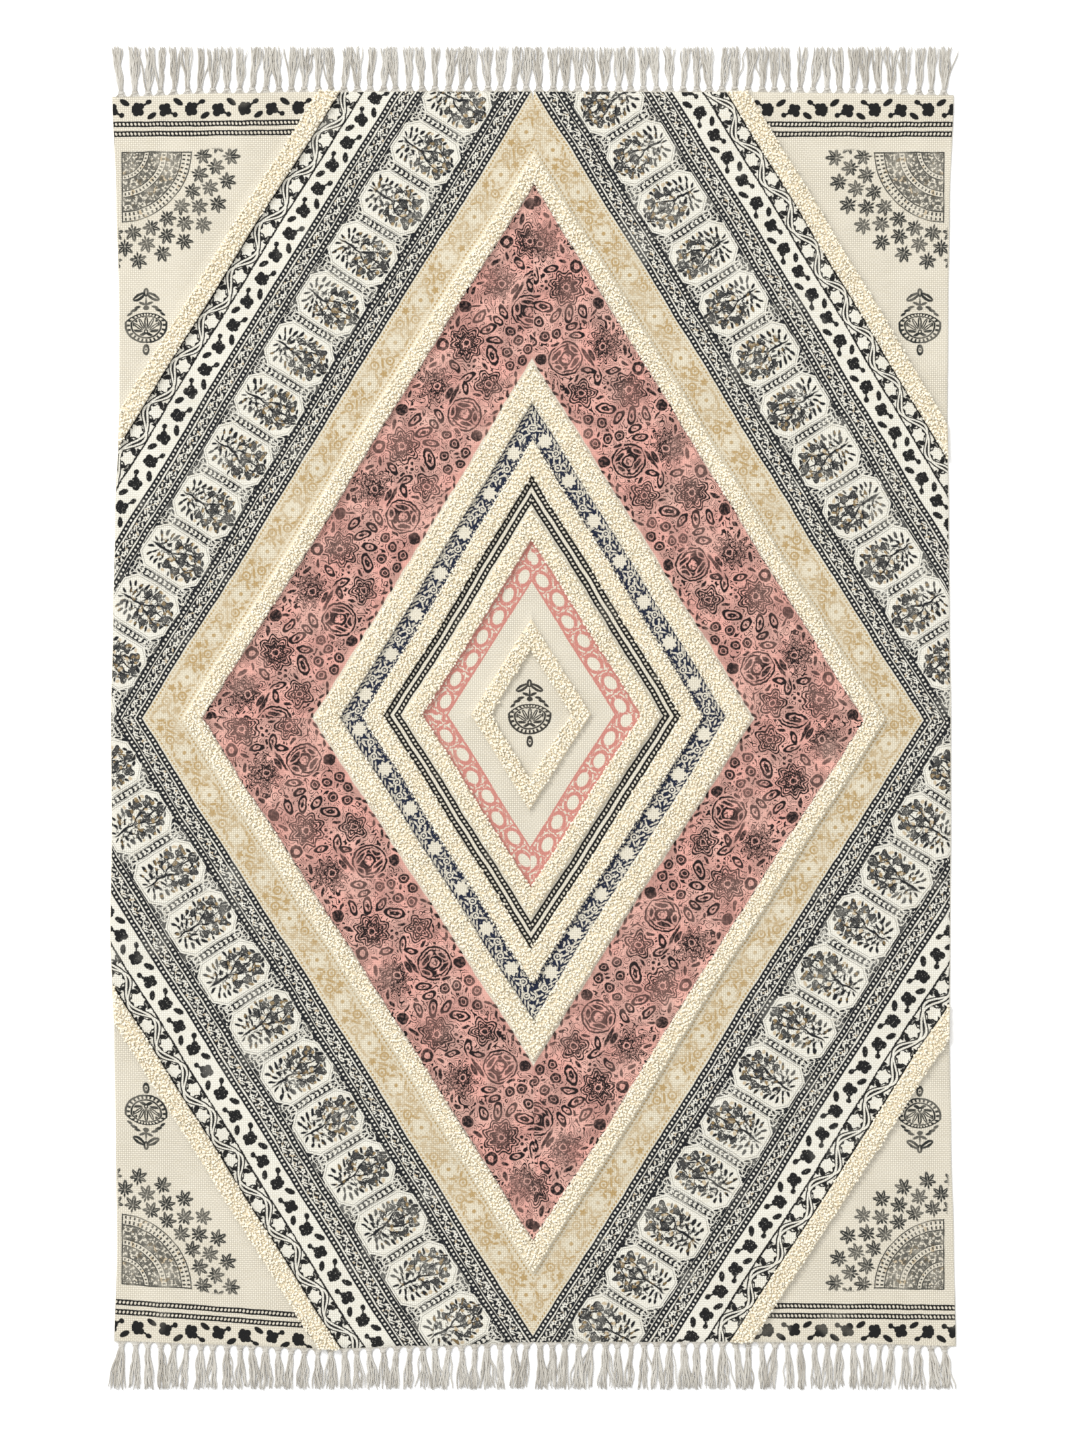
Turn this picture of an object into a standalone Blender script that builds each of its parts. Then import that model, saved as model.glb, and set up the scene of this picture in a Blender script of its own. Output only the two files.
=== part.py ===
"""Printed cotton dhurrie rug, 1.2 m by 1.8 m, lying flat.

One cloth carries raised pile bands worked into it as nested diamonds and four corner bands, and a knotted
fringe runs along each end. Metres, +Z up, +Y along the rug, with the origin under its middle.
"""

import math
import random
from collections import namedtuple

import bmesh
import bpy

# Driving dimensions
CLOTH_WIDTH = 1.200
CLOTH_LENGTH = 1.800
GROUND_THICKNESS = 0.003
PILE_TOP = 0.011
FRINGE_REACH = 0.968
EDGE_GAP = 0.0003

# The cloth's edge
HEM_ROUNDING = 0.0008
SIDE_STEPS = 36
END_STEPS = 60

# Pile bands: each is a ridge with rounded shoulders, sunk a little into the cloth
DIAMOND_SLOPE = 1.6
PILE_SHOULDER = 0.0025
PILE_ROOT = 0.0015
BAND_STEPS = 10
BAND_WANDER = 0.0012
CORNER_BAND_INNER = 0.844
CORNER_BAND_OUTER = 0.872
CORNER_BAND_START = 0.22
CORNER_BAND_END = 0.66
CLIP_INSET = 0.001
CLIP_HEIGHT = 0.03

# Fringe: a knotted heading with one tooth for each tassel
TASSELS = 64
TASSEL_PITCH = 0.0188
HEADING_DEPTH = 0.006
HEADING_HEIGHT = 0.0035
TASSEL_ROOT_HALF = 0.0042
CORNER_TASSEL_SWELL = 1.45
TASSEL_SHORTFALL = 0.007
TASSEL_LEAN = 0.0032
TASSEL_JITTER = 0.0006
FRINGE_SEED = 7
ALL_ROUND = (0, 1, 2, 3)
BEHIND_TASSEL = (0, 1, 3)

# How far each edge stands out past the plain rectangle, in metres: the two sides from the bottom corner to the
# top one, and the two ends from the left corner to the right one.
SideRow = namedtuple("SideRow", "along left right")
SIDE_ROWS = (
    SideRow(-0.90, 0.003, 0.009),
    SideRow(-0.76, -0.001, 0.006),
    SideRow(-0.61, 0.001, 0.002),
    SideRow(-0.46, 0.003, 0.000),
    SideRow(-0.31, 0.009, 0.001),
    SideRow(-0.16, 0.007, 0.002),
    SideRow(0.00, 0.008, 0.002),
    SideRow(0.14, 0.005, 0.000),
    SideRow(0.29, 0.002, -0.001),
    SideRow(0.44, -0.004, -0.003),
    SideRow(0.59, -0.004, -0.002),
    SideRow(0.74, 0.000, 0.000),
    SideRow(0.90, 0.006, 0.006),
)
EndRow = namedtuple("EndRow", "along bottom top")
END_ROWS = (
    EndRow(-0.60, -0.002, -0.005),
    EndRow(-0.45, 0.003, 0.000),
    EndRow(-0.30, 0.009, 0.002),
    EndRow(-0.16, 0.005, 0.003),
    EndRow(0.00, 0.000, 0.003),
    EndRow(0.30, -0.001, 0.002),
    EndRow(0.45, 0.000, 0.000),
    EndRow(0.60, 0.005, -0.003),
)

# The nested pile diamonds, by half-width on X, each with its centre's small shift.
PileRing = namedtuple("PileRing", "name inner outer shift_x shift_y")
PILE_RINGS = (
    PileRing("innermost", 0.058, 0.086, -0.004, 0.008),
    PileRing("second", 0.153, 0.189, -0.003, 0.010),
    PileRing("third", 0.211, 0.246, 0.000, 0.010),
    PileRing("fourth", 0.2785, 0.304, 0.000, 0.009),
    PileRing("outermost", 0.470, 0.505, 0.001, 0.004),
)

# A tassel's sections, from its knot to its cut end: the share of its length, and the half-width and height there.
TasselSection = namedtuple("TasselSection", "share half_width height")
TASSEL_SECTIONS = (
    TasselSection(0.10, 0.0034, 0.0030),
    TasselSection(0.55, 0.0048, 0.0036),
    TasselSection(1.00, 0.0038, 0.0020),
)

# Yarn colours, linear
COTTON_COLOUR = (0.74, 0.68, 0.54, 1.0)
FRINGE_COLOUR = (0.62, 0.57, 0.49, 1.0)
COTTON_ROUGHNESS = 0.95


def clear_scene():
    """Remove what a new Blender file starts with."""
    for thing in list(bpy.data.objects):
        bpy.data.objects.remove(thing, do_unlink=True)


def yarn_material(name, colour):
    """A matt yarn material of one colour."""
    material = bpy.data.materials.new(name)
    material.use_nodes = True
    shader = material.node_tree.nodes["Principled BSDF"]
    shader.inputs["Base Color"].default_value = colour
    shader.inputs["Roughness"].default_value = COTTON_ROUGHNESS
    shader.inputs["Metallic"].default_value = 0.0
    material.diffuse_color = colour
    return material


def object_from(build, name, material=None):
    """Link a new object whose mesh is the finished bmesh."""
    bmesh.ops.recalc_face_normals(build, faces=build.faces)
    mesh = bpy.data.meshes.new(name)
    build.to_mesh(mesh)
    build.free()
    thing = bpy.data.objects.new(name, mesh)
    bpy.context.scene.collection.objects.link(thing)
    if material:
        mesh.materials.append(material)
    return thing


def hide_helper(thing):
    """Keep a shape that only cuts or joins out of the finished rug."""
    thing.hide_render = True
    thing.display_type = "WIRE"


def eased(rows, column, along):
    """The column's value at this place along a table, passing smoothly through every row."""
    last = rows[-1]
    if along >= last.along:
        return getattr(last, column)
    for low, high in zip(rows, rows[1:]):
        if along < high.along:
            share = max(0.0, (along - low.along) / (high.along - low.along))
            blend = share * share * (3 - 2 * share)
            return getattr(low, column) * (1 - blend) + getattr(high, column) * blend
    return getattr(last, column)


def side_x(side, y):
    """X of the left (-1) or right (+1) edge at this height."""
    column = "left" if side < 0 else "right"
    return side * (CLOTH_WIDTH / 2 + eased(SIDE_ROWS, column, y))


def end_y(end, x):
    """Y of the bottom (-1) or top (+1) edge at this place across the rug."""
    column = "bottom" if end < 0 else "top"
    return end * (CLOTH_LENGTH / 2 + eased(END_ROWS, column, x))


def cloth_outline(inset=0.0):
    """The cloth's outline, counterclockwise from its bottom left corner, drawn in by the inset."""
    corners = {}
    for side in (-1, 1):
        for end in (-1, 1):
            x = side_x(side, end * CLOTH_LENGTH / 2)
            corners[side, end] = (x, end_y(end, x))
    points = []
    for end, start in ((-1, -1), (1, 1)):
        first, last = corners[start, end][0], corners[-start, end][0]
        for step in range(END_STEPS):
            x = first + (last - first) * step / END_STEPS
            points.append((x, end_y(end, x)))
        side = -start
        first, last = corners[side, end][1], corners[side, -end][1]
        for step in range(SIDE_STEPS):
            y = first + (last - first) * step / SIDE_STEPS
            points.append((side_x(side, y), y))
    scale_x = 1 - inset / (CLOTH_WIDTH / 2)
    scale_y = 1 - inset / (CLOTH_LENGTH / 2)
    return [(x * scale_x, y * scale_y) for x, y in points]


def bridged_loops(build, loops, closed):
    """Join loops of vertices into a skin. With closed, the last loop joins the first, else both ends are capped."""
    count = len(loops[0])
    pairs = list(zip(loops, loops[1:]))
    if closed:
        pairs.append((loops[-1], loops[0]))
    for lower, upper in pairs:
        for index in range(count):
            following = (index + 1) % count
            build.faces.new((lower[index], lower[following], upper[following], upper[index]))
    if not closed:
        build.faces.new(loops[0])
        build.faces.new(loops[-1])


def loop_of(build, points, z):
    """Add one loop of vertices at this height."""
    return [build.verts.new((x, y, z)) for x, y in points]


def ground_cloth(material):
    """The flat cloth, with a softly rounded hem all round."""
    build = bmesh.new()
    sections = (
        (HEM_ROUNDING, 0.0),
        (0.0, HEM_ROUNDING),
        (0.0, GROUND_THICKNESS - HEM_ROUNDING),
        (HEM_ROUNDING, GROUND_THICKNESS),
    )
    loops = [loop_of(build, cloth_outline(inset), z) for inset, z in sections]
    bridged_loops(build, loops, closed=False)
    return object_from(build, "rug", material)


def clip_prism():
    """A tall prism just inside the cloth's outline, which ends the corner bands at the edge."""
    build = bmesh.new()
    outline = cloth_outline(CLIP_INSET)
    loops = [loop_of(build, outline, z) for z in (-CLIP_HEIGHT, CLIP_HEIGHT)]
    bridged_loops(build, loops, closed=False)
    prism = object_from(build, "outline_clip")
    hide_helper(prism)
    return prism


def perpendicular_share():
    """How far a diamond's side moves for each unit that its half-width grows."""
    return DIAMOND_SLOPE / math.hypot(1.0, DIAMOND_SLOPE)


def band_sections(inner, outer):
    """A pile ridge's section as half-widths and heights, from its outer foot over the crown to its inner foot."""
    draw_in = PILE_SHOULDER / perpendicular_share()
    return (
        (outer, PILE_ROOT),
        (outer, PILE_TOP - PILE_SHOULDER),
        (outer - draw_in, PILE_TOP),
        (inner + draw_in, PILE_TOP),
        (inner, PILE_TOP - PILE_SHOULDER),
        (inner, PILE_ROOT),
    )


def wander(half_width, turns):
    """The hand-made waver of a band's edge at this share of the way round."""
    phase = half_width * 97.0
    slow = math.sin(turns * 5 * math.tau + phase)
    quick = math.sin(turns * 17 * math.tau + 2.3 * phase)
    return BAND_WANDER * (0.6 * slow + 0.4 * quick)


def diamond_points(half_width, ring):
    """One diamond, counterclockwise from its right corner."""
    corners = ((1, 0), (0, 1), (-1, 0), (0, -1))
    points = []
    for quarter in range(4):
        here, there = corners[quarter], corners[(quarter + 1) % 4]
        for step in range(BAND_STEPS):
            share = step / BAND_STEPS
            size = half_width + wander(half_width, (quarter + share) / 4)
            across = here[0] * (1 - share) + there[0] * share
            along = here[1] * (1 - share) + there[1] * share
            points.append((ring.shift_x + across * size, ring.shift_y + along * size * DIAMOND_SLOPE))
    return points


def pile_ring(ring):
    """One raised diamond of pile."""
    build = bmesh.new()
    loops = [loop_of(build, diamond_points(size, ring), z) for size, z in band_sections(ring.inner, ring.outer)]
    bridged_loops(build, loops, closed=True)
    band = object_from(build, "pile_" + ring.name)
    hide_helper(band)
    return band


def corner_band(side, end, prism):
    """The raised band that cuts off one corner, from the side edge to the end edge."""
    build = bmesh.new()
    loops = []
    for step in range(BAND_STEPS + 1):
        share = step / BAND_STEPS
        u = CORNER_BAND_START + (CORNER_BAND_END - CORNER_BAND_START) * share
        loop = []
        for half_width, z in band_sections(CORNER_BAND_INNER, CORNER_BAND_OUTER):
            size = half_width + wander(half_width, share)
            loop.append(build.verts.new((side * u, end * (size - u) * DIAMOND_SLOPE, z)))
        loops.append(loop)
    bridged_loops(build, loops, closed=False)
    names = {-1: "low", 1: "high"}
    band = object_from(build, f"pile_corner_{names[side]}_{names[end]}")
    clip = band.modifiers.new("clip_to_cloth", "BOOLEAN")
    clip.operation = "INTERSECT"
    clip.object = prism
    hide_helper(band)
    return band


def raise_bands(cloth, bands):
    """Work the pile bands into the cloth, so that all is one solid."""
    for band in bands:
        join = cloth.modifiers.new("raise_" + band.name, "BOOLEAN")
        join.operation = "UNION"
        join.solver = "EXACT"
        join.object = band


def tassel_places(draw):
    """The middle of each tassel across the rug, a little uneven."""
    first = -TASSEL_PITCH * (TASSELS - 1) / 2
    return [first + TASSEL_PITCH * index + draw.uniform(-TASSEL_JITTER, TASSEL_JITTER) for index in range(TASSELS)]


def heading_column(build, end, x):
    """The heading's four corners at one place: back low, back high, front high, front low."""
    back = end_y(end, x) + end * EDGE_GAP
    front = back + end * HEADING_DEPTH
    places = ((back, 0.0), (back, HEADING_HEIGHT), (front, HEADING_HEIGHT), (front, 0.0))
    return [build.verts.new((x, y, z)) for y, z in places]


def tassel(build, end, root, middle, swell, tip, lean):
    """One tapering tooth that grows out of the heading's front between two columns."""
    start = end_y(end, middle) + end * (EDGE_GAP + HEADING_DEPTH)
    previous = root
    for section in TASSEL_SECTIONS:
        x = middle + lean * section.share
        y = start + (tip - start) * section.share
        half = section.half_width * swell
        crown = half * 0.55
        places = ((x - half, 0.0), (x - crown, section.height), (x + crown, section.height), (x + half, 0.0))
        current = [build.verts.new((px, y, z)) for px, z in places]
        for index in range(4):
            following = (index + 1) % 4
            build.faces.new((previous[index], previous[following], current[following], current[index]))
        previous = current
    build.faces.new(previous)


def heading_walls(build, left, right, walls):
    """The heading's walls between two columns: wall 0 is its back, 1 its top, 2 its front and 3 its underside."""
    for wall in walls:
        following = (wall + 1) % 4
        build.faces.new((left[wall], left[following], right[following], right[wall]))


def fringe(end, name, material):
    """The knotted heading and tassels along one end, as one comb."""
    draw = random.Random(FRINGE_SEED + end)
    build = bmesh.new()
    shortfalls = [draw.uniform(0.0, TASSEL_SHORTFALL) for _ in range(TASSELS)]
    least = min(shortfalls)
    before = None
    for index, middle in enumerate(tassel_places(draw)):
        at_corner = index in (0, TASSELS - 1)
        swell = CORNER_TASSEL_SWELL if at_corner else 1.0
        lean = 0.0 if at_corner else draw.uniform(-TASSEL_LEAN, TASSEL_LEAN)
        half = TASSEL_ROOT_HALF * swell
        left = heading_column(build, end, middle - half)
        right = heading_column(build, end, middle + half)
        heading_walls(build, left, right, BEHIND_TASSEL)
        if before:
            heading_walls(build, before, left, ALL_ROUND)
        else:
            build.faces.new(left)
        before = right
        tip = end * (FRINGE_REACH - shortfalls[index] + least)
        tassel(build, end, (left[3], left[2], right[2], right[3]), middle, swell, tip, lean)
    build.faces.new(before)
    return object_from(build, name, material)


def main():
    """Build the cloth and its two fringes."""
    clear_scene()
    cotton = yarn_material("printed_cotton", COTTON_COLOUR)
    yarn = yarn_material("fringe_yarn", FRINGE_COLOUR)
    cloth = ground_cloth(cotton)
    prism = clip_prism()
    bands = [pile_ring(ring) for ring in PILE_RINGS]
    bands += [corner_band(side, end, prism) for side in (-1, 1) for end in (-1, 1)]
    raise_bands(cloth, bands)
    fringe(1, "fringe_top", yarn)
    fringe(-1, "fringe_bottom", yarn)


main()
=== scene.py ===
"""Looks of a block-printed cotton dhurrie rug: cloth, prints, raised pile and knotted fringe.

Sizes are in metres unless a name or a docstring says millimetres, +Z is up, +Y runs along the rug, and the
origin is under its middle. The rug is laid out as nested diamonds. A diamond is named by its half-width on X,
and every band lies between two of them. Print blocks are drawn in millimetres, in the frame of their band:
x runs along the band and y across it, from its inner edge outwards.
"""

import logging
import math
from dataclasses import dataclass, field
from enum import Enum

import bpy
import numpy as np
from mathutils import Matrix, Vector


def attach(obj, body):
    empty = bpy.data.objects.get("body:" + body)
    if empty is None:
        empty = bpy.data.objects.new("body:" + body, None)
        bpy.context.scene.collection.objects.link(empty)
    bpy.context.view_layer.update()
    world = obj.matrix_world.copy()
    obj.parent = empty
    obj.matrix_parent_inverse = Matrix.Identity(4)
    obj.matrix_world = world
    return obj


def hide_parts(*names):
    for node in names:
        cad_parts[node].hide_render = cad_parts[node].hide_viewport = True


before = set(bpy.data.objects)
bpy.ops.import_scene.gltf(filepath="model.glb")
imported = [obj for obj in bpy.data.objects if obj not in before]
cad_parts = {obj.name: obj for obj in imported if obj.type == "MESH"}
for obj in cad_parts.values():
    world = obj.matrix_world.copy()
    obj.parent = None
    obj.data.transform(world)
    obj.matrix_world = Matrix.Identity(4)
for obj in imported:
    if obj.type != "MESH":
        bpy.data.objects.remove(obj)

MM = 0.001
DIAMOND_SLOPE = 1.6
ACROSS = DIAMOND_SLOPE / math.hypot(1.0, DIAMOND_SLOPE)
QUARTERS = ((-1, 1), (1, 1), (-1, -1), (1, -1))
PRINT_UV = "print"
BAKE_UV = "OFBake"
ROOT = "root"

Colour = tuple[float, float, float, float]
Pair = tuple[float, float]
Triple = tuple[float, float, float]


def dye(red: int, green: int, blue: int) -> Colour:
    """Turn a colour as the eye names it, 0 to 255, into the linear one that a shader takes.

    Args:
        red: Red share.
        green: Green share.
        blue: Blue share.

    Returns:
        Linear red, green, blue and an alpha of one.
    """
    shares = (part / 255.0 for part in (red, green, blue))
    linear = (share / 12.92 if share <= 0.04045 else ((share + 0.055) / 1.055) ** 2.4 for share in shares)
    return (*linear, 1.0)


def smoothstep(share: np.ndarray) -> np.ndarray:
    """Ease a share from 0 to 1."""
    share = np.clip(share, 0.0, 1.0)
    return share * share * (3.0 - 2.0 * share)


class Kind(Enum):
    """What a band of the cloth shows."""

    CENTRE = "centre"
    PLAIN = "plain"
    PILE = "pile"
    TRELLIS = "trellis"
    ROPE_PAIR = "rope_pair"
    NAVY = "navy_daisies"
    CORAL = "coral_garden"
    OCHRE = "ochre_border"
    ROPE = "rope"
    LEAFY = "leafy_scroll"
    MEDALLION = "tree_medallions"
    SPOTS = "spotted_band"
    VINE = "vine"
    CORNER = "corner"


@dataclass(frozen=True)
class Band:
    """One band between two diamonds.

    Attributes:
        kind: What it shows.
        outer: Half-width of the diamond where it ends.
        starts: Where its print block starts along each quarter's side, in millimetres.
    """

    kind: Kind
    outer: float
    starts: tuple[float, float, float, float] = (0.0, 0.0, 0.0, 0.0)


BANDS = (
    Band(Kind.CENTRE, 0.0580),
    Band(Kind.PILE, 0.0860),
    Band(Kind.PLAIN, 0.1190),
    Band(Kind.TRELLIS, 0.1570, (-46.8, -20.0, 8.0, -33.0)),
    Band(Kind.PILE, 0.1850),
    Band(Kind.ROPE_PAIR, 0.2142),
    Band(Kind.PILE, 0.2435),
    Band(Kind.NAVY, 0.2785, (37.0, 12.0, 50.0, 25.0)),
    Band(Kind.PILE, 0.3140),
    Band(Kind.PLAIN, 0.3165),
    Band(Kind.CORAL, 0.4765, (148.0, 110.0, 124.0, 141.5)),
    Band(Kind.PILE, 0.5050),
    Band(Kind.OCHRE, 0.5610, (0.0, 30.0, 12.0, 45.0)),
    Band(Kind.ROPE, 0.5726),
    Band(Kind.LEAFY, 0.5930, (0.0, 9.0, 17.0, 5.0)),
    Band(Kind.ROPE, 0.6030),
    Band(Kind.MEDALLION, 0.7200, (10.0, 75.0, 4.0, 3.0)),
    Band(Kind.ROPE, 0.7316),
    Band(Kind.LEAFY, 0.7530, (13.0, 2.0, 7.0, 20.0)),
    Band(Kind.ROPE, 0.7636),
    Band(Kind.SPOTS, 0.8070, (19.0, 3.0, 9.5, 18.0)),
    Band(Kind.VINE, 0.8440, (46.5, 62.0, 73.5, 55.0)),
    Band(Kind.PILE, 0.8755),
    Band(Kind.CORNER, 1.1750),
)


class Field:
    """A value that a material works out at every point, as numbers or as vectors.

    It takes the usual operators. On masks, which run from 0 to 1, "|" keeps the larger, "&" multiplies and
    "~" turns one about.
    """

    def __init__(self, socket: bpy.types.NodeSocket) -> None:
        """Wrap a node's output."""
        self.socket = socket

    @staticmethod
    def of(
        tree: bpy.types.NodeTree, kind: str, *values: object, output: int | str = 0, **settings: str
    ) -> "Field":
        """Add a node to a material.

        Args:
            tree: The material's nodes.
            kind: The node's type after "ShaderNode".
            *values: A field or a constant for each input in turn, None to leave it.
            output: Which output to read.
            **settings: Properties of the node.

        Returns:
            The node's output.
        """
        made = tree.nodes.new("ShaderNode" + kind)
        for name, setting in settings.items():
            setattr(made, name, setting)
        for socket, value in zip(made.inputs, values):
            if isinstance(value, Field):
                tree.links.new(value.socket, socket)
            elif value is not None:
                socket.default_value = value
        return Field(made.outputs[output])

    def then(self, kind: str, *values: object, output: int | str = 0, **settings: str) -> "Field":
        """Add a node that reads this field at its first input."""
        return Field.of(self.socket.id_data, kind, self, *values, output=output, **settings)

    def math(self, operation: str, *values: "Value") -> "Field":
        """Apply a Math node to this and up to two more values."""
        return self.then("Math", *values, operation=operation)

    def __add__(self, other: "Value") -> "Field":
        """Add."""
        return self.math("ADD", other)

    def __sub__(self, other: "Value") -> "Field":
        """Subtract."""
        return self.math("SUBTRACT", other)

    def __mul__(self, other: "Value") -> "Field":
        """Multiply."""
        return self.math("MULTIPLY", other)

    def __abs__(self) -> "Field":
        """Drop the sign."""
        return self.math("ABSOLUTE")

    def __or__(self, other: "Value") -> "Field":
        """Keep the larger."""
        return self.math("MAXIMUM", other)

    def __and__(self, other: "Value") -> "Field":
        """Multiply two masks."""
        return self.math("MULTIPLY", other)

    def __invert__(self) -> "Field":
        """Turn a mask about."""
        return self.scaled(-1.0, 1.0)

    def scaled(self, factor: "Value", offset: "Value") -> "Field":
        """Multiply, then add."""
        return self.math("MULTIPLY_ADD", factor, offset)

    def least(self, other: "Value") -> "Field":
        """Keep the smaller."""
        return self.math("MINIMUM", other)

    def vector(self, operation: str, *values: object) -> "Field":
        """Apply a Vector Math node that gives a vector."""
        return self.then("VectorMath", *values, operation=operation)

    def from_spot(self, x: float, y: float) -> "Field":
        """The vector from a spot to this place."""
        return self.vector("SUBTRACT", (x, y, 0.0))

    def length(self) -> "Field":
        """A vector's length."""
        return self.then("VectorMath", output="Value", operation="LENGTH")

    def parts(self) -> tuple["Field", "Field", "Field"]:
        """Take a vector apart."""
        made = self.then("SeparateXYZ").socket.node
        return tuple(Field(output) for output in made.outputs)

    def ramp(self, low: float, high: float, to_low: float = 0.0, to_high: float = 1.0) -> "Field":
        """Ease this value smoothly between two levels."""
        return self.then("MapRange", low, high, to_low, to_high, interpolation_type="SMOOTHSTEP")

    def mix(self, first: "Field | Colour", second: "Field | Colour") -> "Field":
        """Mix two colours by this share of the second."""
        unused = [None] * 5
        return self.then("Mix", *unused, first, second, output=2, data_type="RGBA")

    def noise(self, scale: float, detail: float = 2.0, rough: float = 0.5) -> "Field":
        """Cloudy noise from 0 to 1, read at this place."""
        return self.then("TexNoise", None, scale, detail, rough)

    def wobble(self, scale: float, reach: float) -> "Field":
        """Shift this place by noise, as a hand-cut block wanders.

        Args:
            scale: Clouds for each millimetre.
            reach: The most that it moves, in millimetres.

        Returns:
            The shifted place.
        """
        detail = 1.5
        clouds = self.then("TexNoise", None, scale, detail, output="Color")
        centred = clouds.vector("SUBTRACT", (0.5, 0.5, 0.5))
        return self.vector("ADD", centred.vector("MULTIPLY", (2.0 * reach, 2.0 * reach, 0.0)))

    def repeat(self, pitch: float, first: float) -> tuple["Field", "Field"]:
        """Fold this place into one repeat of a block.

        Args:
            pitch: The repeat's length.
            first: Where the repeat begins.

        Returns:
            The place within the repeat, and the repeat's number.
        """
        along, across, _ = self.parts()
        wrapped = along.math("WRAP", first + pitch, first)
        number = along.scaled(1.0 / pitch, -first / pitch).math("FLOOR")
        return place(wrapped, across), number

    def inked(self, soft: float = 0.4) -> "Field":
        """How much ink lies at this distance from a shape's edge, 1 inside it and 0 outside."""
        return self.ramp(-soft, soft, 1.0, 0.0)

    def line(self, level: float, half: float) -> "Field":
        """Distance from a line that follows this edge at a level outside (+) or inside (-) it."""
        return abs(self - level) - half

    def strip(self, low: float, high: float, soft: float = 0.4) -> "Field":
        """A mask that is 1 between two levels of this value."""
        return self.line((low + high) / 2, (high - low) / 2).inked(soft)


Value = Field | float


def place(x: Field, y: Field, z: Value = 0.0) -> Field:
    """Put coordinates together as a vector."""
    return x.then("CombineXYZ", y, z)


def rug_place(tree: bpy.types.NodeTree) -> Field:
    """The point on the rug, in millimetres."""
    return Field.of(tree, "TexCoord", output="Object").vector("MULTIPLY", (1.0 / MM, 1.0 / MM, 1.0 / MM))


@dataclass(frozen=True)
class Paint:
    """A material in the making.

    Attributes:
        material: The material.
        shader: Its principled shader.
    """

    material: bpy.types.Material
    shader: bpy.types.Node

    @classmethod
    def started(cls, name: str) -> "Paint":
        """Start a material with a shader and an output.

        Args:
            name: The material's name.

        Returns:
            The material in the making.
        """
        material = bpy.data.materials.new(name)
        material.use_nodes = True
        tree = material.node_tree
        tree.nodes.clear()
        shader = tree.nodes.new("ShaderNodeBsdfPrincipled")
        output = tree.nodes.new("ShaderNodeOutputMaterial")
        tree.links.new(shader.outputs[0], output.inputs["Surface"])
        return cls(material, shader)

    def read(self, kind: str, output: str | int = 0, **settings: str) -> Field:
        """Add a node that reads the surface."""
        return Field.of(self.material.node_tree, kind, output=output, **settings)

    def place(self) -> Field:
        """The point on the rug, in millimetres."""
        return rug_place(self.material.node_tree)

    def set(self, **constants: float) -> None:
        """Set constants on the shader's own sockets, named with underscores for spaces."""
        for name, constant in constants.items():
            self.shader.inputs[name.replace("_", " ")].default_value = constant

    def feed(self, name: str, value: Field) -> None:
        """Link a field to one of the shader's sockets."""
        self.material.node_tree.links.new(value.socket, self.shader.inputs[name])

    def emboss(self, height: Field, strength: float, depth: float) -> None:
        """Give the surface a fine relief.

        Args:
            height: The relief's height, from 0 to about 1.
            strength: How strongly it turns the light.
            depth: What a height of 1 stands for, in metres.
        """
        bump = self.read("Bump").socket.node
        bump.inputs["Strength"].default_value = strength
        bump.inputs["Distance"].default_value = depth
        self.material.node_tree.links.new(height.socket, bump.inputs["Height"])
        self.feed("Normal", Field(bump.outputs[0]))


@dataclass(frozen=True)
class Oval:
    """A cut oval of a print block, in millimetres. A thin one is a stroke or a leaf.

    Attributes:
        x: Middle along the block.
        y: Middle across it.
        long: Half-length.
        wide: Half-width.
        turn: Turn of its length, in degrees.
    """

    x: float
    y: float
    long: float
    wide: float
    turn: float = 0.0

    def distance(self, at: Field) -> Field:
        """Distance of a place from the shape's edge.

        Args:
            at: The place.

        Returns:
            The distance, below zero inside.
        """
        middle, angles = (self.x, self.y, 0.0), (0.0, 0.0, math.radians(self.turn))
        within = at.then("Mapping", middle, angles, (self.long, self.wide, 1.0), vector_type="TEXTURE")
        least = min(self.long, self.wide)
        return within.length().scaled(least, -least)


@dataclass(frozen=True)
class Dot:
    """A round spot of a print block, in millimetres."""

    x: float
    y: float
    radius: float

    def distance(self, at: Field) -> Field:
        """Distance of a place from the shape's edge, below zero inside."""
        return at.from_spot(self.x, self.y).length() - self.radius


@dataclass(frozen=True)
class Hoop:
    """A ring of a print block, in millimetres, drawn with a line of this half-width."""

    x: float
    y: float
    radius: float
    half: float

    def distance(self, at: Field) -> Field:
        """Distance of a place from the line's edge, below zero inside it."""
        return at.from_spot(self.x, self.y).length().line(self.radius, self.half)


@dataclass(frozen=True)
class Bloom:
    """A lobed flower of a print block, in millimetres.

    Attributes:
        x: Middle along the block.
        y: Middle across it.
        radius: Middling radius.
        petals: How many lobes.
        depth: How deep they are cut, as a share of the radius.
        turn: Turn, in degrees.
    """

    x: float
    y: float
    radius: float
    petals: int
    depth: float
    turn: float = 0.0

    def distance(self, at: Field) -> Field:
        """Distance of a place from the shape's edge.

        Args:
            at: The place.

        Returns:
            The distance, below zero inside.
        """
        spoke = at.from_spot(self.x, self.y)
        x, y, _ = spoke.parts()
        swing = y.math("ARCTAN2", x).scaled(float(self.petals), math.radians(self.turn) * self.petals)
        return spoke.length() - swing.math("COSINE").scaled(self.radius * self.depth, self.radius)


Shape = Oval | Dot | Hoop | Bloom


def joined(at: Field, shapes: tuple[Shape, ...]) -> Field:
    """Distance of a place from the nearest of several shapes.

    Args:
        at: The place.
        shapes: The shapes.

    Returns:
        The distance, below zero inside any of them.
    """
    nearest = shapes[0].distance(at)
    for shape in shapes[1:]:
        nearest = nearest.least(shape.distance(at))
    return nearest


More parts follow.
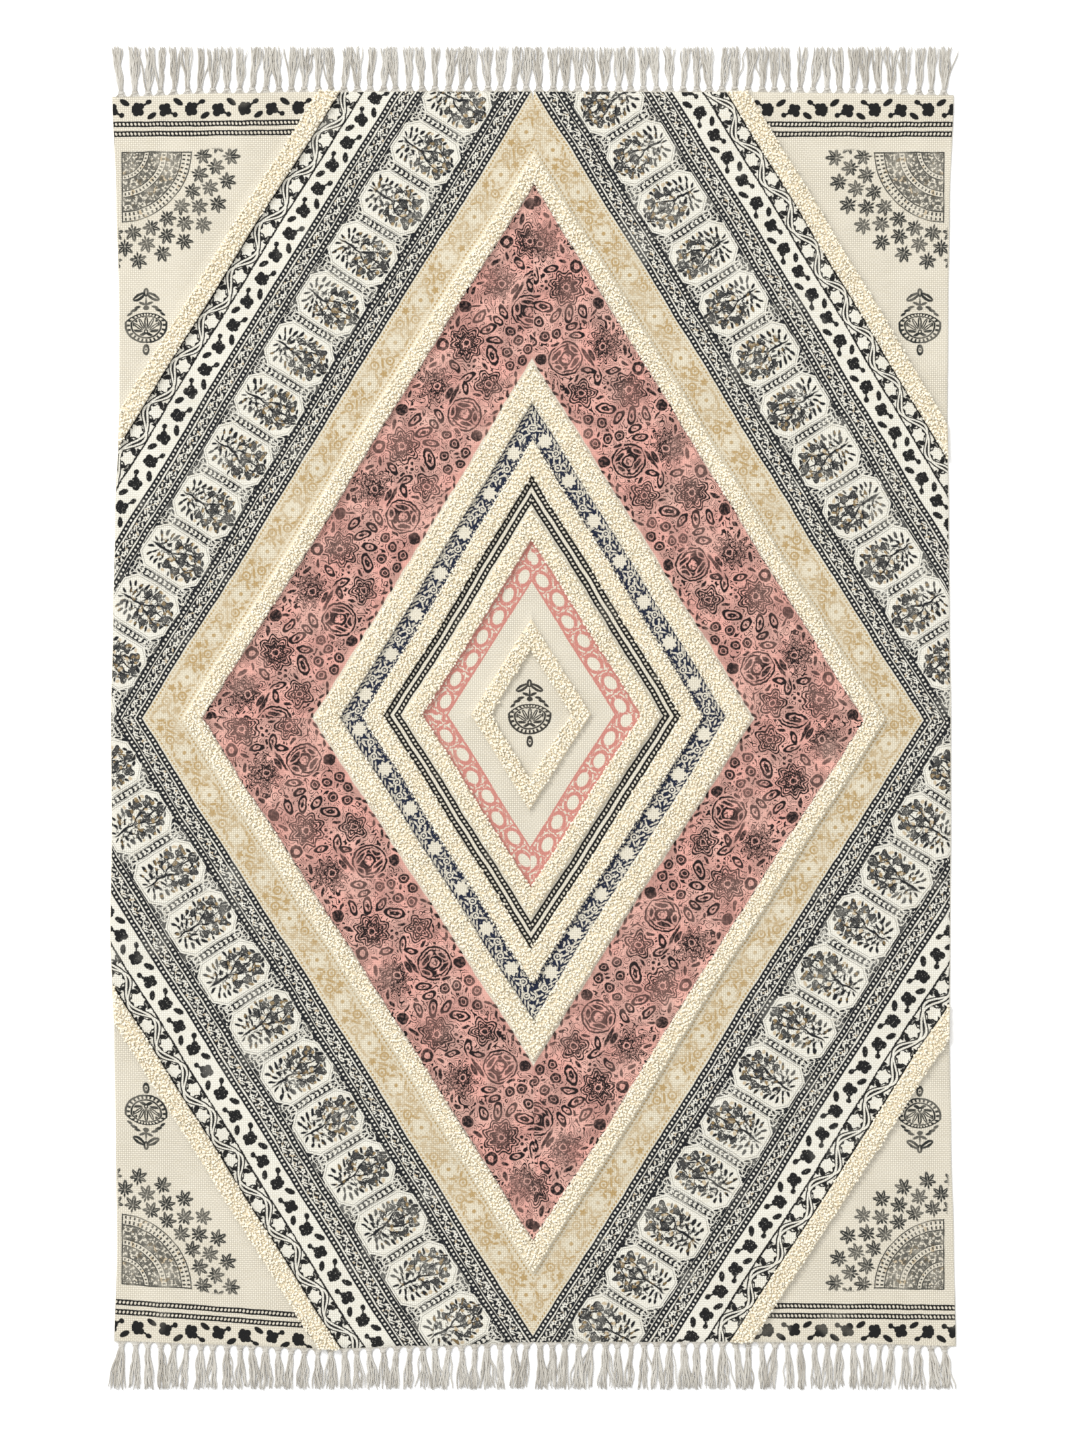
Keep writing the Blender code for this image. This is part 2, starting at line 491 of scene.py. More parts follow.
@dataclass(frozen=True)
class Cotton:
    """Undyed plain-woven cotton, the ground of the rug.

    Attributes:
        light: Colour on the crowns of the yarns.
        dark: Colour between them, painted shade in the weave's hollows.
        pitch: From yarn to yarn, in millimetres.
        bump: Strength of the weave's relief.
        slub: Colour of the thicker lengths of yarn.
    """

    light: Colour = dye(235, 229, 212)
    dark: Colour = dye(188, 182, 166)
    pitch: float = 2.8
    bump: float = 0.55
    slub: Colour = dye(200, 191, 168)

    def relief(self, at: Field) -> Field:
        """The weave's height.

        Args:
            at: The place on the rug.

        Returns:
            The height there, from 0 between yarns to 1 on their crowns.
        """
        x, y, _ = at.wobble(0.05, 0.8).parts()
        turn = math.pi / self.pitch
        crossing = (x * turn).math("SINE") * (y * turn).math("SINE")
        crown = abs(crossing).math("POWER", 0.5)
        return crown * crossing.ramp(-0.2, 0.2, 0.72, 1.0)

    def colour(self, at: Field, relief: Field) -> Field:
        """The undyed cloth's colour, with slubs and painted shade in the weave's hollows.

        Args:
            at: The place on the rug.
            relief: The weave's height there.

        Returns:
            The colour there.
        """
        # Painted shade: the dark colour fills the weave's hollows and the light one its crowns.
        base = relief.ramp(0.1, 0.9).mix(self.dark, self.light)
        drawn_out = at.vector("MULTIPLY", (0.05, 0.9, 1.0))
        toned = drawn_out.noise(1.0).ramp(0.45, 0.70, 0.0, 0.45).mix(base, self.slub)
        return at.noise(0.012, 3.0).ramp(0.35, 0.7, 0.0, 0.22).mix(toned, self.light)


Coats = list[tuple[Field, Colour]]
"""A print's inks in the order they are laid: how much of each, and its colour."""


@dataclass(frozen=True)
class GroundCloth:
    """Plain cotton with whatever its kind prints on it.

    Attributes:
        name: The finish's name.
        cotton: The ground.
    """

    name: str
    cotton: Cotton = Cotton()

    def coats(self, at: Field) -> Coats:
        """Lay the print's inks in turn. Plain cloth has none."""
        return []

    def material(self) -> bpy.types.Material:
        """Lay out the finish.

        Returns:
            The material.
        """
        paint = Paint.started(self.name)
        rug = paint.place()
        relief = self.cotton.relief(rug)
        colour = self.cotton.colour(rug, relief)
        at = paint.read("UVMap", uv_map=PRINT_UV).wobble(0.03, 1.5).wobble(0.45, 0.55)
        hold = rug.noise(0.30, 3.0, 0.7).scaled(0.9, relief).ramp(0.28, 0.56, 0.82, 1.0)
        worn = rug.noise(0.011, 3.0, 0.6).ramp(0.30, 0.42, 0.88, 1.0)
        crowns = relief.ramp(0.0, 1.0)
        for mask, ink in self.coats(at):
            # Painted shade: the ink is darkened to three quarters in the weave's hollows and kept full on the
            # crowns.
            ink_in_shade = (*(0.75 * part for part in ink[:3]), 1.0)
            colour = (mask & hold & worn).mix(colour, crowns.mix(ink_in_shade, ink))
        fuzz = rug.noise(1.3, 3.0, 0.7)
        paint.feed("Base Color", colour)
        paint.feed("Roughness", fuzz.ramp(0.2, 0.8, 0.82, 0.98))
        paint.set(Specular_IOR_Level=0.15, Sheen_Weight=0.05, Sheen_Roughness=0.6)
        paint.emboss(fuzz.scaled(0.45, relief), self.cotton.bump, 0.0007)
        return paint.material


BLACK_INK = dye(28, 28, 28)
SOFT_INK = dye(28, 30, 34)
CORAL_LINE = dye(30, 22, 24)
CORAL_DYE = dye(233, 172, 159)
PINK_INK = dye(205, 131, 120)
NAVY_INK = dye(30, 38, 60)
OCHRE_INK = dye(184, 154, 102)
GREY_INK = dye(46, 48, 46)


@dataclass(frozen=True)
class Block(GroundCloth):
    """A print that repeats along its band.

    Attributes:
        width: The band's width, in millimetres.
        pitch: The repeat's length.
        shapes: The repeat's main shapes.
    """

    width: float = 0.0
    pitch: float = 1.0
    shapes: tuple[Shape, ...] = ()

    def centred(self, at: Field) -> tuple[Field, Field]:
        """Fold a place into the repeat whose middle is at 0, and number the repeat."""
        return at.repeat(self.pitch, -self.pitch / 2)


@dataclass(frozen=True)
class SpottedBand(Block):
    """Clustered spots, dots and leaves in near-black.

    Attributes:
        first: Where the repeat begins.
    """

    pitch: float = 77.0
    first: float = -8.0
    shapes: tuple[Shape, ...] = (
        Dot(-5.6, 18.4, 4.9), Dot(-1, 13.4, 4.7), Dot(5.4, 14.2, 4.9), Dot(4.8, 22.4, 5.1),
        Dot(-1.6, 23.8, 4.7), Dot(0.6, 18.8, 4.4), Oval(16.6, 8, 4.8, 3.5, -24),
        Oval(11.4, 11.4, 5.4, 1.6, -32), Oval(21, 27.6, 7.6, 4, -32), Dot(36, 16, 5.2),
        Dot(42.6, 14.8, 5), Dot(44.4, 21.4, 5.2), Dot(37.4, 24.2, 5.4), Dot(40.2, 19.2, 4.4),
        Oval(49.6, 24.4, 4.4, 1.8, 24), Dot(54.8, 26.6, 3.9), Oval(58.8, 8.6, 8.2, 4.1, 34),
    )

    def coats(self, at: Field) -> Coats:
        """Lay the print's inks in turn.

        Args:
            at: Place on the block, in millimetres.

        Returns:
            The inks.
        """
        ragged = at.repeat(self.pitch, self.first)[0].wobble(0.35, 1.1)
        pecks = at.noise(0.42).ramp(0.62, 0.70, 0.0, 0.4)
        return [(joined(ragged, self.shapes).inked() & ~pecks, BLACK_INK)]


@dataclass(frozen=True)
class RopeBand(Block):
    """A dark cord with a row of pale beads.

    Attributes:
        bead: A bead's half-length and half-width.
    """

    width: float = 9.4
    pitch: float = 6.6
    bead: Pair = (1.7, 1.5)

    def coats(self, at: Field) -> Coats:
        """Lay the print's inks in turn.

        Args:
            at: Place on the block, in millimetres.

        Returns:
            The inks.
        """
        body = at.parts()[1].strip(0.5, self.width - 0.3, 0.5)
        bead = Oval(0, self.width / 2, *self.bead, 20).distance(self.centred(at)[0])
        return [(body & ~bead.inked(0.5), SOFT_INK)]


@dataclass(frozen=True)
class RopePair(Block):
    """Two chains of links with a bare strip between them.

    Attributes:
        chains: Where each chain's middle lies across the band.
        half: Half a chain's width.
    """

    pitch: float = 6.3
    chains: Pair = (7.0, 20.0)
    half: float = 4.3

    def chain(self, at: Field, middle: float) -> Field:
        """One chain's ink, by where its middle lies."""
        body = at.parts()[1].strip(middle - self.half, middle + self.half)
        return body & ~Oval(0, middle, 1.9, 1.4, 35).distance(self.centred(at)[0]).inked()

    def coats(self, at: Field) -> Coats:
        """Lay the print's inks in turn."""
        return [(self.chain(at, self.chains[0]) | self.chain(at, self.chains[1]), BLACK_INK)]


@dataclass(frozen=True)
class LeafyBand(Block):
    """A dense scroll of pale leaflets on a dark ground with touches of ochre.

    Attributes:
        eyes: The dark hearts of its two flowers.
    """

    width: float = 17.4
    pitch: float = 29.0
    shapes: tuple[Shape, ...] = (
        Bloom(-9, 6, 3.3, 5, 0.30), Oval(-2.4, 4.6, 3.2, 1.2, 40), Oval(0.4, 13, 3.4, 1.2, 30),
        Bloom(6.4, 11.6, 3.2, 5, 0.30, 20), Oval(5, 4.4, 2.8, 1.1, -50), Oval(11.2, 5.2, 3.2, 1.2, 35),
        Oval(-13, 12.8, 3.2, 1.2, 25), Dot(-6.6, 13.6, 1.5),
    )
    eyes: tuple[Shape, ...] = (Dot(-9, 6.4, 1.1), Dot(6, 10.8, 1.1))

    def coats(self, at: Field) -> Coats:
        """Lay the print's inks in turn.

        Args:
            at: Place on the block, in millimetres.

        Returns:
            The inks.
        """
        point, _ = self.centred(at)
        along, across, _ = point.parts()
        stem = across - (along * (math.tau / self.pitch)).math("SINE").scaled(4.2, self.width / 2)
        pale = stem.line(0.0, 0.65).inked() | joined(point, self.shapes).inked(0.5)
        speck = at.noise(0.23, 2.0, 0.6).ramp(0.61, 0.65, 0.0, 0.95)
        bare = (pale | speck) & ~joined(point, self.eyes).inked()
        body = across.strip(0.8, self.width - 0.6, 0.5)
        patches = at.noise(0.16, 1.0).ramp(0.60, 0.68)
        return [(body & ~bare, SOFT_INK), (body & bare & patches & 0.75, OCHRE_INK)]


@dataclass(frozen=True)
class VineBand(Block):
    """Two pale stems that cross in waves over dark leaf bits, with a pale flower in each half wave.

    Attributes:
        stems: How deep each stem sways, and how far it lags, in radians.
        flower: The flower of a half wave.
    """

    width: float = 33.0
    pitch: float = 38.4
    shapes: tuple[Shape, ...] = tuple(
        Oval(side * x, y, long, wide, side * turn)
        for x, y, long, wide, turn in (
            (13.8, 22.6, 6.6, 3.2, -62.0), (16.8, 28.6, 5.0, 2.5, -20.0), (9.2, 30.0, 5.0, 1.9, 12.0),
            (8.8, 12.0, 4.2, 1.8, 35.0), (19.2, 18.6, 4.2, 2.1, -80.0),
        )
        for side in (-1, 1)
    )
    stems: tuple[Pair, ...] = ((11.6, 0.30), (8.0, -0.32))
    flower: Shape = Bloom(0, 22, 9.2, 6, 0.14, 12)

    def coats(self, at: Field) -> Coats:
        """Lay the print's inks in turn.

        Args:
            at: Place on the block, in millimetres.

        Returns:
            The inks.
        """
        folded, number = self.centred(at)
        along, across, _ = folded.parts()
        odd = abs(number.math("MODULO", 2.0))
        side = (across.scaled(-1.0, self.width) & odd) + (across & ~odd)
        point = place(along, side)
        near = []
        for depth, lag in self.stems:
            crest = along.scaled(math.pi / self.pitch, lag).math("COSINE")
            near.append(abs((side - crest.scaled(-depth, self.width / 2)) * 0.78))
        stem = near[0].least(near[1])
        jagged = point.wobble(0.30, 2.6)
        flower = self.flower.distance(jagged)
        ragged = at.noise(0.28, 1.0).scaled(4.4, -2.2)
        rims = (across + ragged).strip(0.2, 3.0, 0.5) | (across + ragged * 1.6).strip(28.8, 33.0, 0.6)
        leaves = (stem - 2.9).inked(0.5) | joined(jagged, self.shapes).inked(0.5)
        dark = ((leaves | flower.line(1.3, 1.3).inked()) & ~flower.inked(0.5)) | rims
        return [(dark & ~(stem - 1.15).inked(0.35), BLACK_INK)]


@dataclass(frozen=True)
class NavyBand(Block):
    """Pale daisies and curls on navy, with a row of leaves and one of dashes.

    Attributes:
        daisy: The daisy.
        leaf: A leaf of the outer row, and the row's pitch.
        dash: A dash of the inner row, and the row's pitch.
    """

    width: float = 29.6
    pitch: float = 68.0
    shapes: tuple[Shape, ...] = (
        Hoop(-24.5, 10.6, 4.4, 0.95), Hoop(24, 18.6, 4.2, 0.95), Oval(-17, 14.8, 4.8, 1.1, 50),
        Oval(17.2, 14, 4.8, 1.1, 50), Oval(-31, 17.8, 5.4, 1.2, -38), Oval(30.6, 12, 5.2, 1.2, -38),
        Oval(-22.6, 19.6, 4.2, 1.3, 10), Oval(22.6, 9.8, 4.2, 1.3, 12), Oval(-14, 6.8, 3.4, 1, -30),
        Oval(14, 22, 3.4, 1, -30), Dot(-24.5, 10.6, 1.5), Dot(24, 18.6, 1.5), Dot(-33, 9.4, 1.7),
        Dot(33, 20, 1.7),
    )
    daisy: Shape = Bloom(0, 14.6, 9.8, 8, 0.16, 11)
    leaf: tuple[Shape, float] = (Oval(0, 25.2, 4.4, 1, -26), 8.5)
    dash: tuple[Shape, float] = (Oval(0, 3, 1, 0.8), 5.6)

    def coats(self, at: Field) -> Coats:
        """Lay the print's inks in turn.

        Args:
            at: Place on the block, in millimetres.

        Returns:
            The inks.
        """
        point, _ = self.centred(at)
        bare = self.daisy.distance(point).inked(0.5) | joined(point, self.shapes).inked(0.45)
        for (shape, pitch), soft in ((self.leaf, 0.45), (self.dash, 0.4)):
            bare = bare | shape.distance(at.repeat(pitch, -pitch / 2)[0]).inked(soft)
        bare = bare | at.noise(0.17, 2.0, 0.6).ramp(0.55, 0.61, 0.0, 0.8)
        ragged = at.parts()[1] + at.noise(0.30, 1.0).scaled(3.0, -1.5)
        return [(ragged.strip(0.8, self.width - 1.0, 0.6) & ~bare, NAVY_INK)]


@dataclass(frozen=True)
class TrellisBand(Block):
    """Pale ovals in a pink trellis.

    Attributes:
        stagger: How far ovals lie to either side of the middle.
        oval: Half an oval's length and width.
    """

    width: float = 32.2
    pitch: float = 35.2
    shapes: tuple[Shape, ...] = (
        Oval(-16.6, 8.6, 6.4, 1.5, 58), Oval(-16, 23.4, 6.4, 1.5, -58), Oval(16.8, 9, 6, 1.5, -60),
        Oval(16.4, 23.6, 6, 1.5, 60), Oval(0, 3.6, 8.6, 1.3), Oval(0, 28.4, 8.6, 1.3),
    )
    stagger: float = 2.6
    oval: Pair = (11.0, 7.6)

    def coats(self, at: Field) -> Coats:
        """Lay the print's inks in turn.

        Args:
            at: Place on the block, in millimetres.

        Returns:
            The inks.
        """
        folded, number = self.centred(at)
        along, across, _ = folded.parts()
        odd = abs(number.math("MODULO", 2.0))
        point = place(along, across - odd.scaled(2 * self.stagger, -self.stagger))
        oval = Oval(0, self.width / 2, *self.oval, 6).distance(point)
        ragged = across + at.noise(0.22).scaled(4.4, -2.2)
        fray = ragged.strip(self.width - 3.6, self.width - 0.6, 0.8)
        around = oval.scaled(-1.0, 4.8).inked(0.8) & ~oval.line(5.2, 0.95).inked()
        fill = around & at.noise(0.16).ramp(0.36, 0.48)
        drawn = oval.line(2.1, 2.2).inked(0.6) | joined(point, self.shapes).inked(0.6) | fray | fill
        gaps = at.noise(0.20).ramp(0.30, 0.42)
        return [(((drawn & gaps) | across.strip(0.4, 3.0, 0.5)) & 0.95, PINK_INK)]


@dataclass(frozen=True)
class OchreBand(Block):
    """A dense faded ochre scroll with bare stars in it, between two dotted lines.

    Attributes:
        star: The star.
        rows: A dot of each line.
        row_pitch: From dot to dot.
        margin: How far the scroll keeps from the band's edges.
    """

    width: float = 47.5
    pitch: float = 71.0
    shapes: tuple[Shape, ...] = (
        Dot(0, 23.6, 2.9), Hoop(-27, 16, 5.4, 1.3), Hoop(26, 31, 5.6, 1.3), Dot(-27, 16, 1.9),
        Dot(26, 31, 1.9), Bloom(-24, 34.4, 4.8, 5, 0.26), Bloom(23, 13.6, 4.8, 5, 0.26, 20),
        Oval(-14.4, 26.4, 5.4, 1.9, 62), Oval(14.6, 21, 5.4, 1.9, 62), Oval(-15.6, 12.4, 5, 1.8, -36),
        Oval(15.6, 35, 5, 1.8, -36), Oval(-33.4, 25, 5.6, 1.8, 40), Oval(33, 22, 5.6, 1.8, 40),
        Oval(-8.4, 37.6, 4.4, 1.7, 14), Oval(8.2, 9.6, 4.4, 1.7, 14), Oval(-4.6, 9.8, 3.6, 1.5, -40),
        Oval(5.2, 37.2, 3.6, 1.5, -40), Dot(-20, 24, 2.1), Dot(19.6, 25, 2.1), Dot(35.4, 36.6, 2.2),
        Dot(-35.4, 9.8, 2.2),
    )
    star: Shape = Bloom(0, 23.6, 10.4, 8, 0.14, 8)
    rows: tuple[Shape, ...] = (Oval(0, 3.4, 1.9, 1.5, -28), Oval(0, 44.2, 1.9, 1.5, 28))
    row_pitch: float = 5.6
    margin: float = 6.4

    def coats(self, at: Field) -> Coats:
        """Lay the print's inks in turn.

        Args:
            at: Place on the block, in millimetres.

        Returns:
            The inks.
        """
        point, _ = self.centred(at)
        bead = joined(at.repeat(self.row_pitch, -self.row_pitch / 2)[0], self.rows).inked(0.5)
        within = at.parts()[1].strip(self.margin, self.width - self.margin, 1.0)
        around = within & ~self.star.distance(point).inked(0.8)
        dusting = around & at.noise(0.17, 2.0, 0.6).ramp(0.50, 0.57, 0.0, 0.70)
        faded = at.noise(0.026).ramp(0.30, 0.60, 0.42, 1.0)
        drawn = joined(point, self.shapes).inked(0.7) | bead | dusting
        return [(around & 0.10, OCHRE_INK), (drawn & faded & 0.95, OCHRE_INK)]


@dataclass(frozen=True)
class MedallionBand(Block):
    """Flowering trees in pale chamfered cartouches, with dark speckled dividers between them.

    A drift of the block makes each tree a little different.

    Attributes:
        half: Half a cartouche's length and width.
        chamfer: How much of a cartouche's corner is cut.
        branches: The tree's wood, its right half.
        fronds: Its thin leaves.
        flowers: Its flowers.
        buds: Its ochre buds.
        corner: The leaves in a divider's corners.
        chain: The divider's chain of beads.
    """

    width: float = 99.2
    pitch: float = 85.5
    half: Pair = (35.5, 47.0)
    chamfer: float = 15.0
    branches: tuple[Shape, ...] = (
        Oval(0, 70, 1.7, 20), Oval(5.6, 46, 1.5, 12.5, 24), Oval(12, 30, 1.3, 8.5, 10),
        Oval(0, 27, 1.2, 12), Oval(13.4, 53, 1.2, 8, 62), Oval(7.6, 21, 1.2, 6, -30),
    )
    fronds: tuple[Shape, ...] = (
        Oval(24.4, 60.6, 2.3, 5, 66), Oval(9.6, 66, 1.8, 5, 60), Oval(21.6, 69.2, 2.3, 5.4, 80),
        Oval(11, 73.8, 1.9, 5.2, 86), Oval(22.4, 77.4, 2.2, 5, 98), Oval(10.6, 81, 1.9, 4.8, 112),
        Oval(18, 85, 2.1, 4.8, 124), Oval(5.6, 87.4, 1.8, 4.6, 150), Oval(5, 6.6, 2, 4.6, 150),
        Oval(12, 10.6, 2, 4.4, 122), Oval(28, 46.6, 1.9, 4, 84), Oval(26.4, 30.4, 1.9, 4, 66),
    )
    flowers: tuple[Shape, ...] = (
        Bloom(0, 13.4, 6.6, 5, 0.24, 90), Bloom(17, 21, 6.8, 3, 0.26, 30),
        Bloom(21.6, 39, 6.6, 3, 0.26, 10), Bloom(1.6, 37, 6.6, 5, 0.20, 18),
        Bloom(17.4, 53, 5.2, 3, 0.26, -20),
    )
    buds: tuple[Shape, ...] = (
        Oval(25.8, 25.2, 3.2, 2.4, 30), Dot(28.6, 36, 2.4), Dot(8.4, 51.6, 2.8),
        Oval(9.4, 29.4, 3.2, 2.2, 60), Dot(27, 54.4, 2.5), Dot(11.4, 16.6, 2.2),
    )
    corner: tuple[Shape, ...] = (
        Oval(38, 6, 5.6, 2.2, 10), Oval(33, 10, 4.4, 1.7, 60), Oval(39.4, 14, 3.4, 1.7, -70),
        Oval(38, 91.6, 5.6, 2.2, -10), Oval(33, 87.6, 4.4, 1.7, -60), Oval(39.4, 83.6, 3.4, 1.7, 70),
    )
    chain: tuple[Shape, ...] = tuple(Oval(41.2, 20 + 7.4 * step, 1.5, 2.4, 24) for step in range(9))

    def tree(self, half_tree: Field, drift: Field) -> tuple[Field, Field]:
        """Draw a tree.

        Args:
            half_tree: The place on the tree's right half.
            drift: The same before it is folded.

        Returns:
            The inks of its fill and of its lines.
        """
        flowers = joined(half_tree, self.flowers)
        lines = joined(half_tree, self.branches).inked(0.5) | joined(half_tree, self.fronds).inked(0.5)
        lines = lines | flowers.line(-0.4, 0.75).inked(0.5) | flowers.line(-3.2, 0.5).inked()
        crown = Oval(0, 45, 25, 38).distance(half_tree).inked(1.5)
        leafage = crown & drift.noise(0.19, 2.0, 0.6).ramp(0.50, 0.54)
        return flowers.inked(0.6) | leafage, lines

    def divider(self, at: Field, far: Field, across: Field) -> Field:
        """Draw what is left bare between two cartouches.

        Args:
            at: The place on the band.
            far: Distance along from the tree's middle.
            across: Distance from the band's inner edge.

        Returns:
            The mask of the bare cloth.
        """
        quarter = place(far, across)
        specks = at.noise(0.24, 2.0, 0.65).ramp(0.57, 0.63, 0.0, 0.95)
        leaf = joined(quarter, self.corner).line(0.6, 0.5).inked()
        post = far.strip(36.8, 37.7) & 0.8
        return specks | leaf | joined(quarter, self.chain).inked() | post

    def coats(self, at: Field) -> Coats:
        """Lay the print's inks in turn.

        Args:
            at: Place on the block, in millimetres.

        Returns:
            The inks.
        """
        folded, number = self.centred(at)
        along, across, _ = folded.parts()
        drift = place(along, across, number * 37.0).wobble(0.055, 5.2)
        drift_along, drift_across, _ = drift.parts()
        half_tree = place(abs(drift_along), drift_across)
        far, off_middle = abs(along), abs(across - self.width / 2)
        slant = (far + off_middle).scaled(0.7, -0.7 * (sum(self.half) - self.chamfer))
        cartouche = (far - self.half[0]) | (off_middle - self.half[1]) | slant
        fill, lines = self.tree(half_tree, drift)
        dark = cartouche.ramp(0.2, 1.2) & ~self.divider(at, far, across)
        dapple = drift.noise(0.30).ramp(0.56, 0.64, 1.0, 0.25)
        faint = at.noise(0.020, 1.0).ramp(0.36, 0.50, 0.84, 1.0)
        turning = at.noise(0.09, 1.0).ramp(0.60, 0.68, 0.0, 0.7)
        golden = joined(half_tree, self.buds).inked(0.7) | ((fill | lines) & turning)
        outline = cartouche.line(-1.8, 0.35).inked()
        return [
            (fill & faint & dapple & 0.92, SOFT_INK),
            ((lines | dark) & faint, SOFT_INK),
            (golden & 0.62, OCHRE_INK),
            (outline & 0.7, GREY_INK),
        ]


@dataclass(frozen=True)
class CoralBand(Block):
    """A coral dye under a line-drawn garden: pomegranates, round blooms, leaves and berries.

    Attributes:
        first: Where the repeat begins.
        cores: The hearts of the large shapes.
        solids: Berries, buds and small leaves, filled.
        edging: Leaves along the inner edge.
        large_levels: Depths of the lines inside a large shape.
        core_levels: Depths of the lines inside a heart.
    """

    width: float = 135.6
    pitch: float = 174.0
    first: float = -30.0
    shapes: tuple[Shape, ...] = (
        Oval(-1.5, 43, 24, 25), Bloom(53, 36, 18.5, 5, 0.20, 12), Bloom(85, 96, 24, 8, 0.14, 5),
        Bloom(12, 103, 23, 11, 0.22), Oval(90, 53, 15, 7.6, 48), Oval(119, 80, 13, 6.2, -36),
        Oval(111, 62, 11.5, 5.2, -68), Oval(128, 99, 11.5, 5.6, -12), Oval(-22, 74, 11, 5.4, 62),
        Oval(45, 68, 12, 5.6, -32), Oval(50, 92, 10, 5, 70), Oval(137, 74, 9, 5, 80),
        Oval(31, 62, 9, 4.4, 50),
    )
    cores: tuple[Shape, ...] = (
        Oval(-1.5, 44, 13, 17.5, 16), Bloom(53, 35, 7.8, 5, 0.30, 48), Bloom(84, 96, 12, 7, 0.22, 20),
        Bloom(12, 98, 9, 7, 0.20),
    )
    solids: tuple[Shape, ...] = (
        Dot(-19, 11.5, 8.4), Hoop(91, 23, 6, 1.8), Hoop(105.6, 37.4, 5.8, 1.8),
        Hoop(107.6, 11.6, 5.6, 1.8), Hoop(125.4, 13.6, 6, 1.8), Hoop(128.6, 33, 5.8, 1.8),
        Hoop(134, 49.6, 5.6, 1.8), Dot(91, 23, 3.2), Dot(105.6, 37.4, 3), Dot(107.6, 11.6, 3),
        Dot(125.4, 13.6, 3.2), Dot(128.6, 33, 3), Dot(134, 49.6, 3), Hoop(67, 124, 6.8, 2.6),
        Dot(129.6, 124, 8.6), Oval(138, 111.6, 7, 1.7, -62), Oval(-18, 126, 5.4, 3, 20),
        Oval(14, 71.4, 17, 2.8, 4), Oval(14, 78, 9.4, 3.8), Oval(-12.4, 34, 3, 9.6, 18),
        Oval(9.4, 51, 3, 9.6, 18), Oval(4, 27.6, 6.4, 2.8, 30), Oval(-6, 60, 6.4, 2.8, 24),
        Dot(53, 35, 3.8), Dot(64, 68, 2.6), Dot(71, 72, 2.6), Dot(62, 76, 2.6),
        Oval(85, 8.6, 5.4, 2.2, 40), Oval(117, 24, 4.2, 2, -40), Oval(-28, 40, 6.4, 2.6, 80),
        Oval(31, 42, 6.4, 2.5, -66), Oval(34, 121, 8, 3, -22), Oval(106, 122, 8.4, 3, 26),
        Oval(-4, 124, 7, 2.4, -40), Oval(50, 112, 6.4, 2.4, 34), Oval(143, 94, 5, 2.4, 30),
        Oval(72, 54, 6.4, 2.4, 70), Dot(12, 98, 4), Dot(85, 96, 4),
    )
    edging: tuple[Shape, ...] = (
        Oval(-8, 1.6, 5.6, 2.2, 30), Oval(3.6, 5.4, 5.4, 2.2, -26), Oval(14.6, 1.6, 5.8, 2.3, 30),
        Oval(24, 6, 5.4, 2.2, -28), Oval(34, 2.4, 5.8, 2.3, 26), Oval(43, 8.2, 5, 2.2, -40),
        Oval(55, 3.4, 5.6, 2.3, 24), Oval(66, 7, 5.4, 2.2, -24), Oval(76, 2.6, 5.2, 2.2, 34),
    )
    large_levels: tuple[float, ...] = (-0.8, -5.6, -10.6, -15.6)
    core_levels: tuple[float, ...] = (0.0, -4.6)

    def lines(self, at: Field, point: Field, solids: Field) -> Field:
        """Draw the thin lines: outlines in outlines, crumbs within them and curls in the ground.

        Args:
            at: The place on the band.
            point: The place within the repeat.
            solids: Distance from the filled shapes.

        Returns:
            The lines' ink.
        """
        large, cores = joined(point, self.shapes), joined(point, self.cores)
        crumbs = (large + 2.6).inked(0.8) & at.noise(0.24, 2.0, 0.6).ramp(0.50, 0.58)
        swirl = at.noise(0.052, 1.5) * 13.0
        curls = abs(swirl.math("FRACT") - 0.5).ramp(0.12, 0.20, 1.0, 0.0)
        broken = curls & at.noise(0.11, 1.0).ramp(0.34, 0.42)
        free = large.least(solids).ramp(1.6, 2.4)
        drawn = (broken & free & at.parts()[1].ramp(6.0, 11.0)) | (crumbs & 0.85)
        for level in self.large_levels:
            drawn = drawn | large.line(level, 1.4).inked(0.45)
        for level in self.core_levels:
            drawn = drawn | cores.line(level, 1.5).inked(0.45)
        return drawn

    def coats(self, at: Field) -> Coats:
        """Lay the print's inks in turn.

        Args:
            at: Place on the block, in millimetres.

        Returns:
            The inks.
        """
        uneven = at.parts()[1] + at.noise(0.05, 1.0).scaled(3.0, -1.5)
        dyed = uneven.strip(1.0, self.width - 1.2, 1.2)
        blush = at.noise(0.02).ramp(0.35, 0.65, 0.84, 1.0)
        point, _ = at.wobble(0.06, 2.4).wobble(0.15, 1.8).repeat(self.pitch, self.first)
        solids = joined(point, self.solids)
        mottle = at.noise(0.26).ramp(0.46, 0.66, 1.0, 0.80)
        filled = solids.least(joined(point, self.edging)).inked(0.6) & mottle
        drawn = (self.lines(at, point, solids) & solids.ramp(1.0, 2.0)) | filled
        faded = at.noise(0.013).ramp(0.38, 0.54, 0.80, 1.0)
        smear = at.noise(0.030, 3.0, 0.6).ramp(0.40, 0.62, 0.0, 0.32)
        return [(dyed & blush, CORAL_DYE), (smear & dyed, GREY_INK), (drawn & faded, CORAL_LINE)]


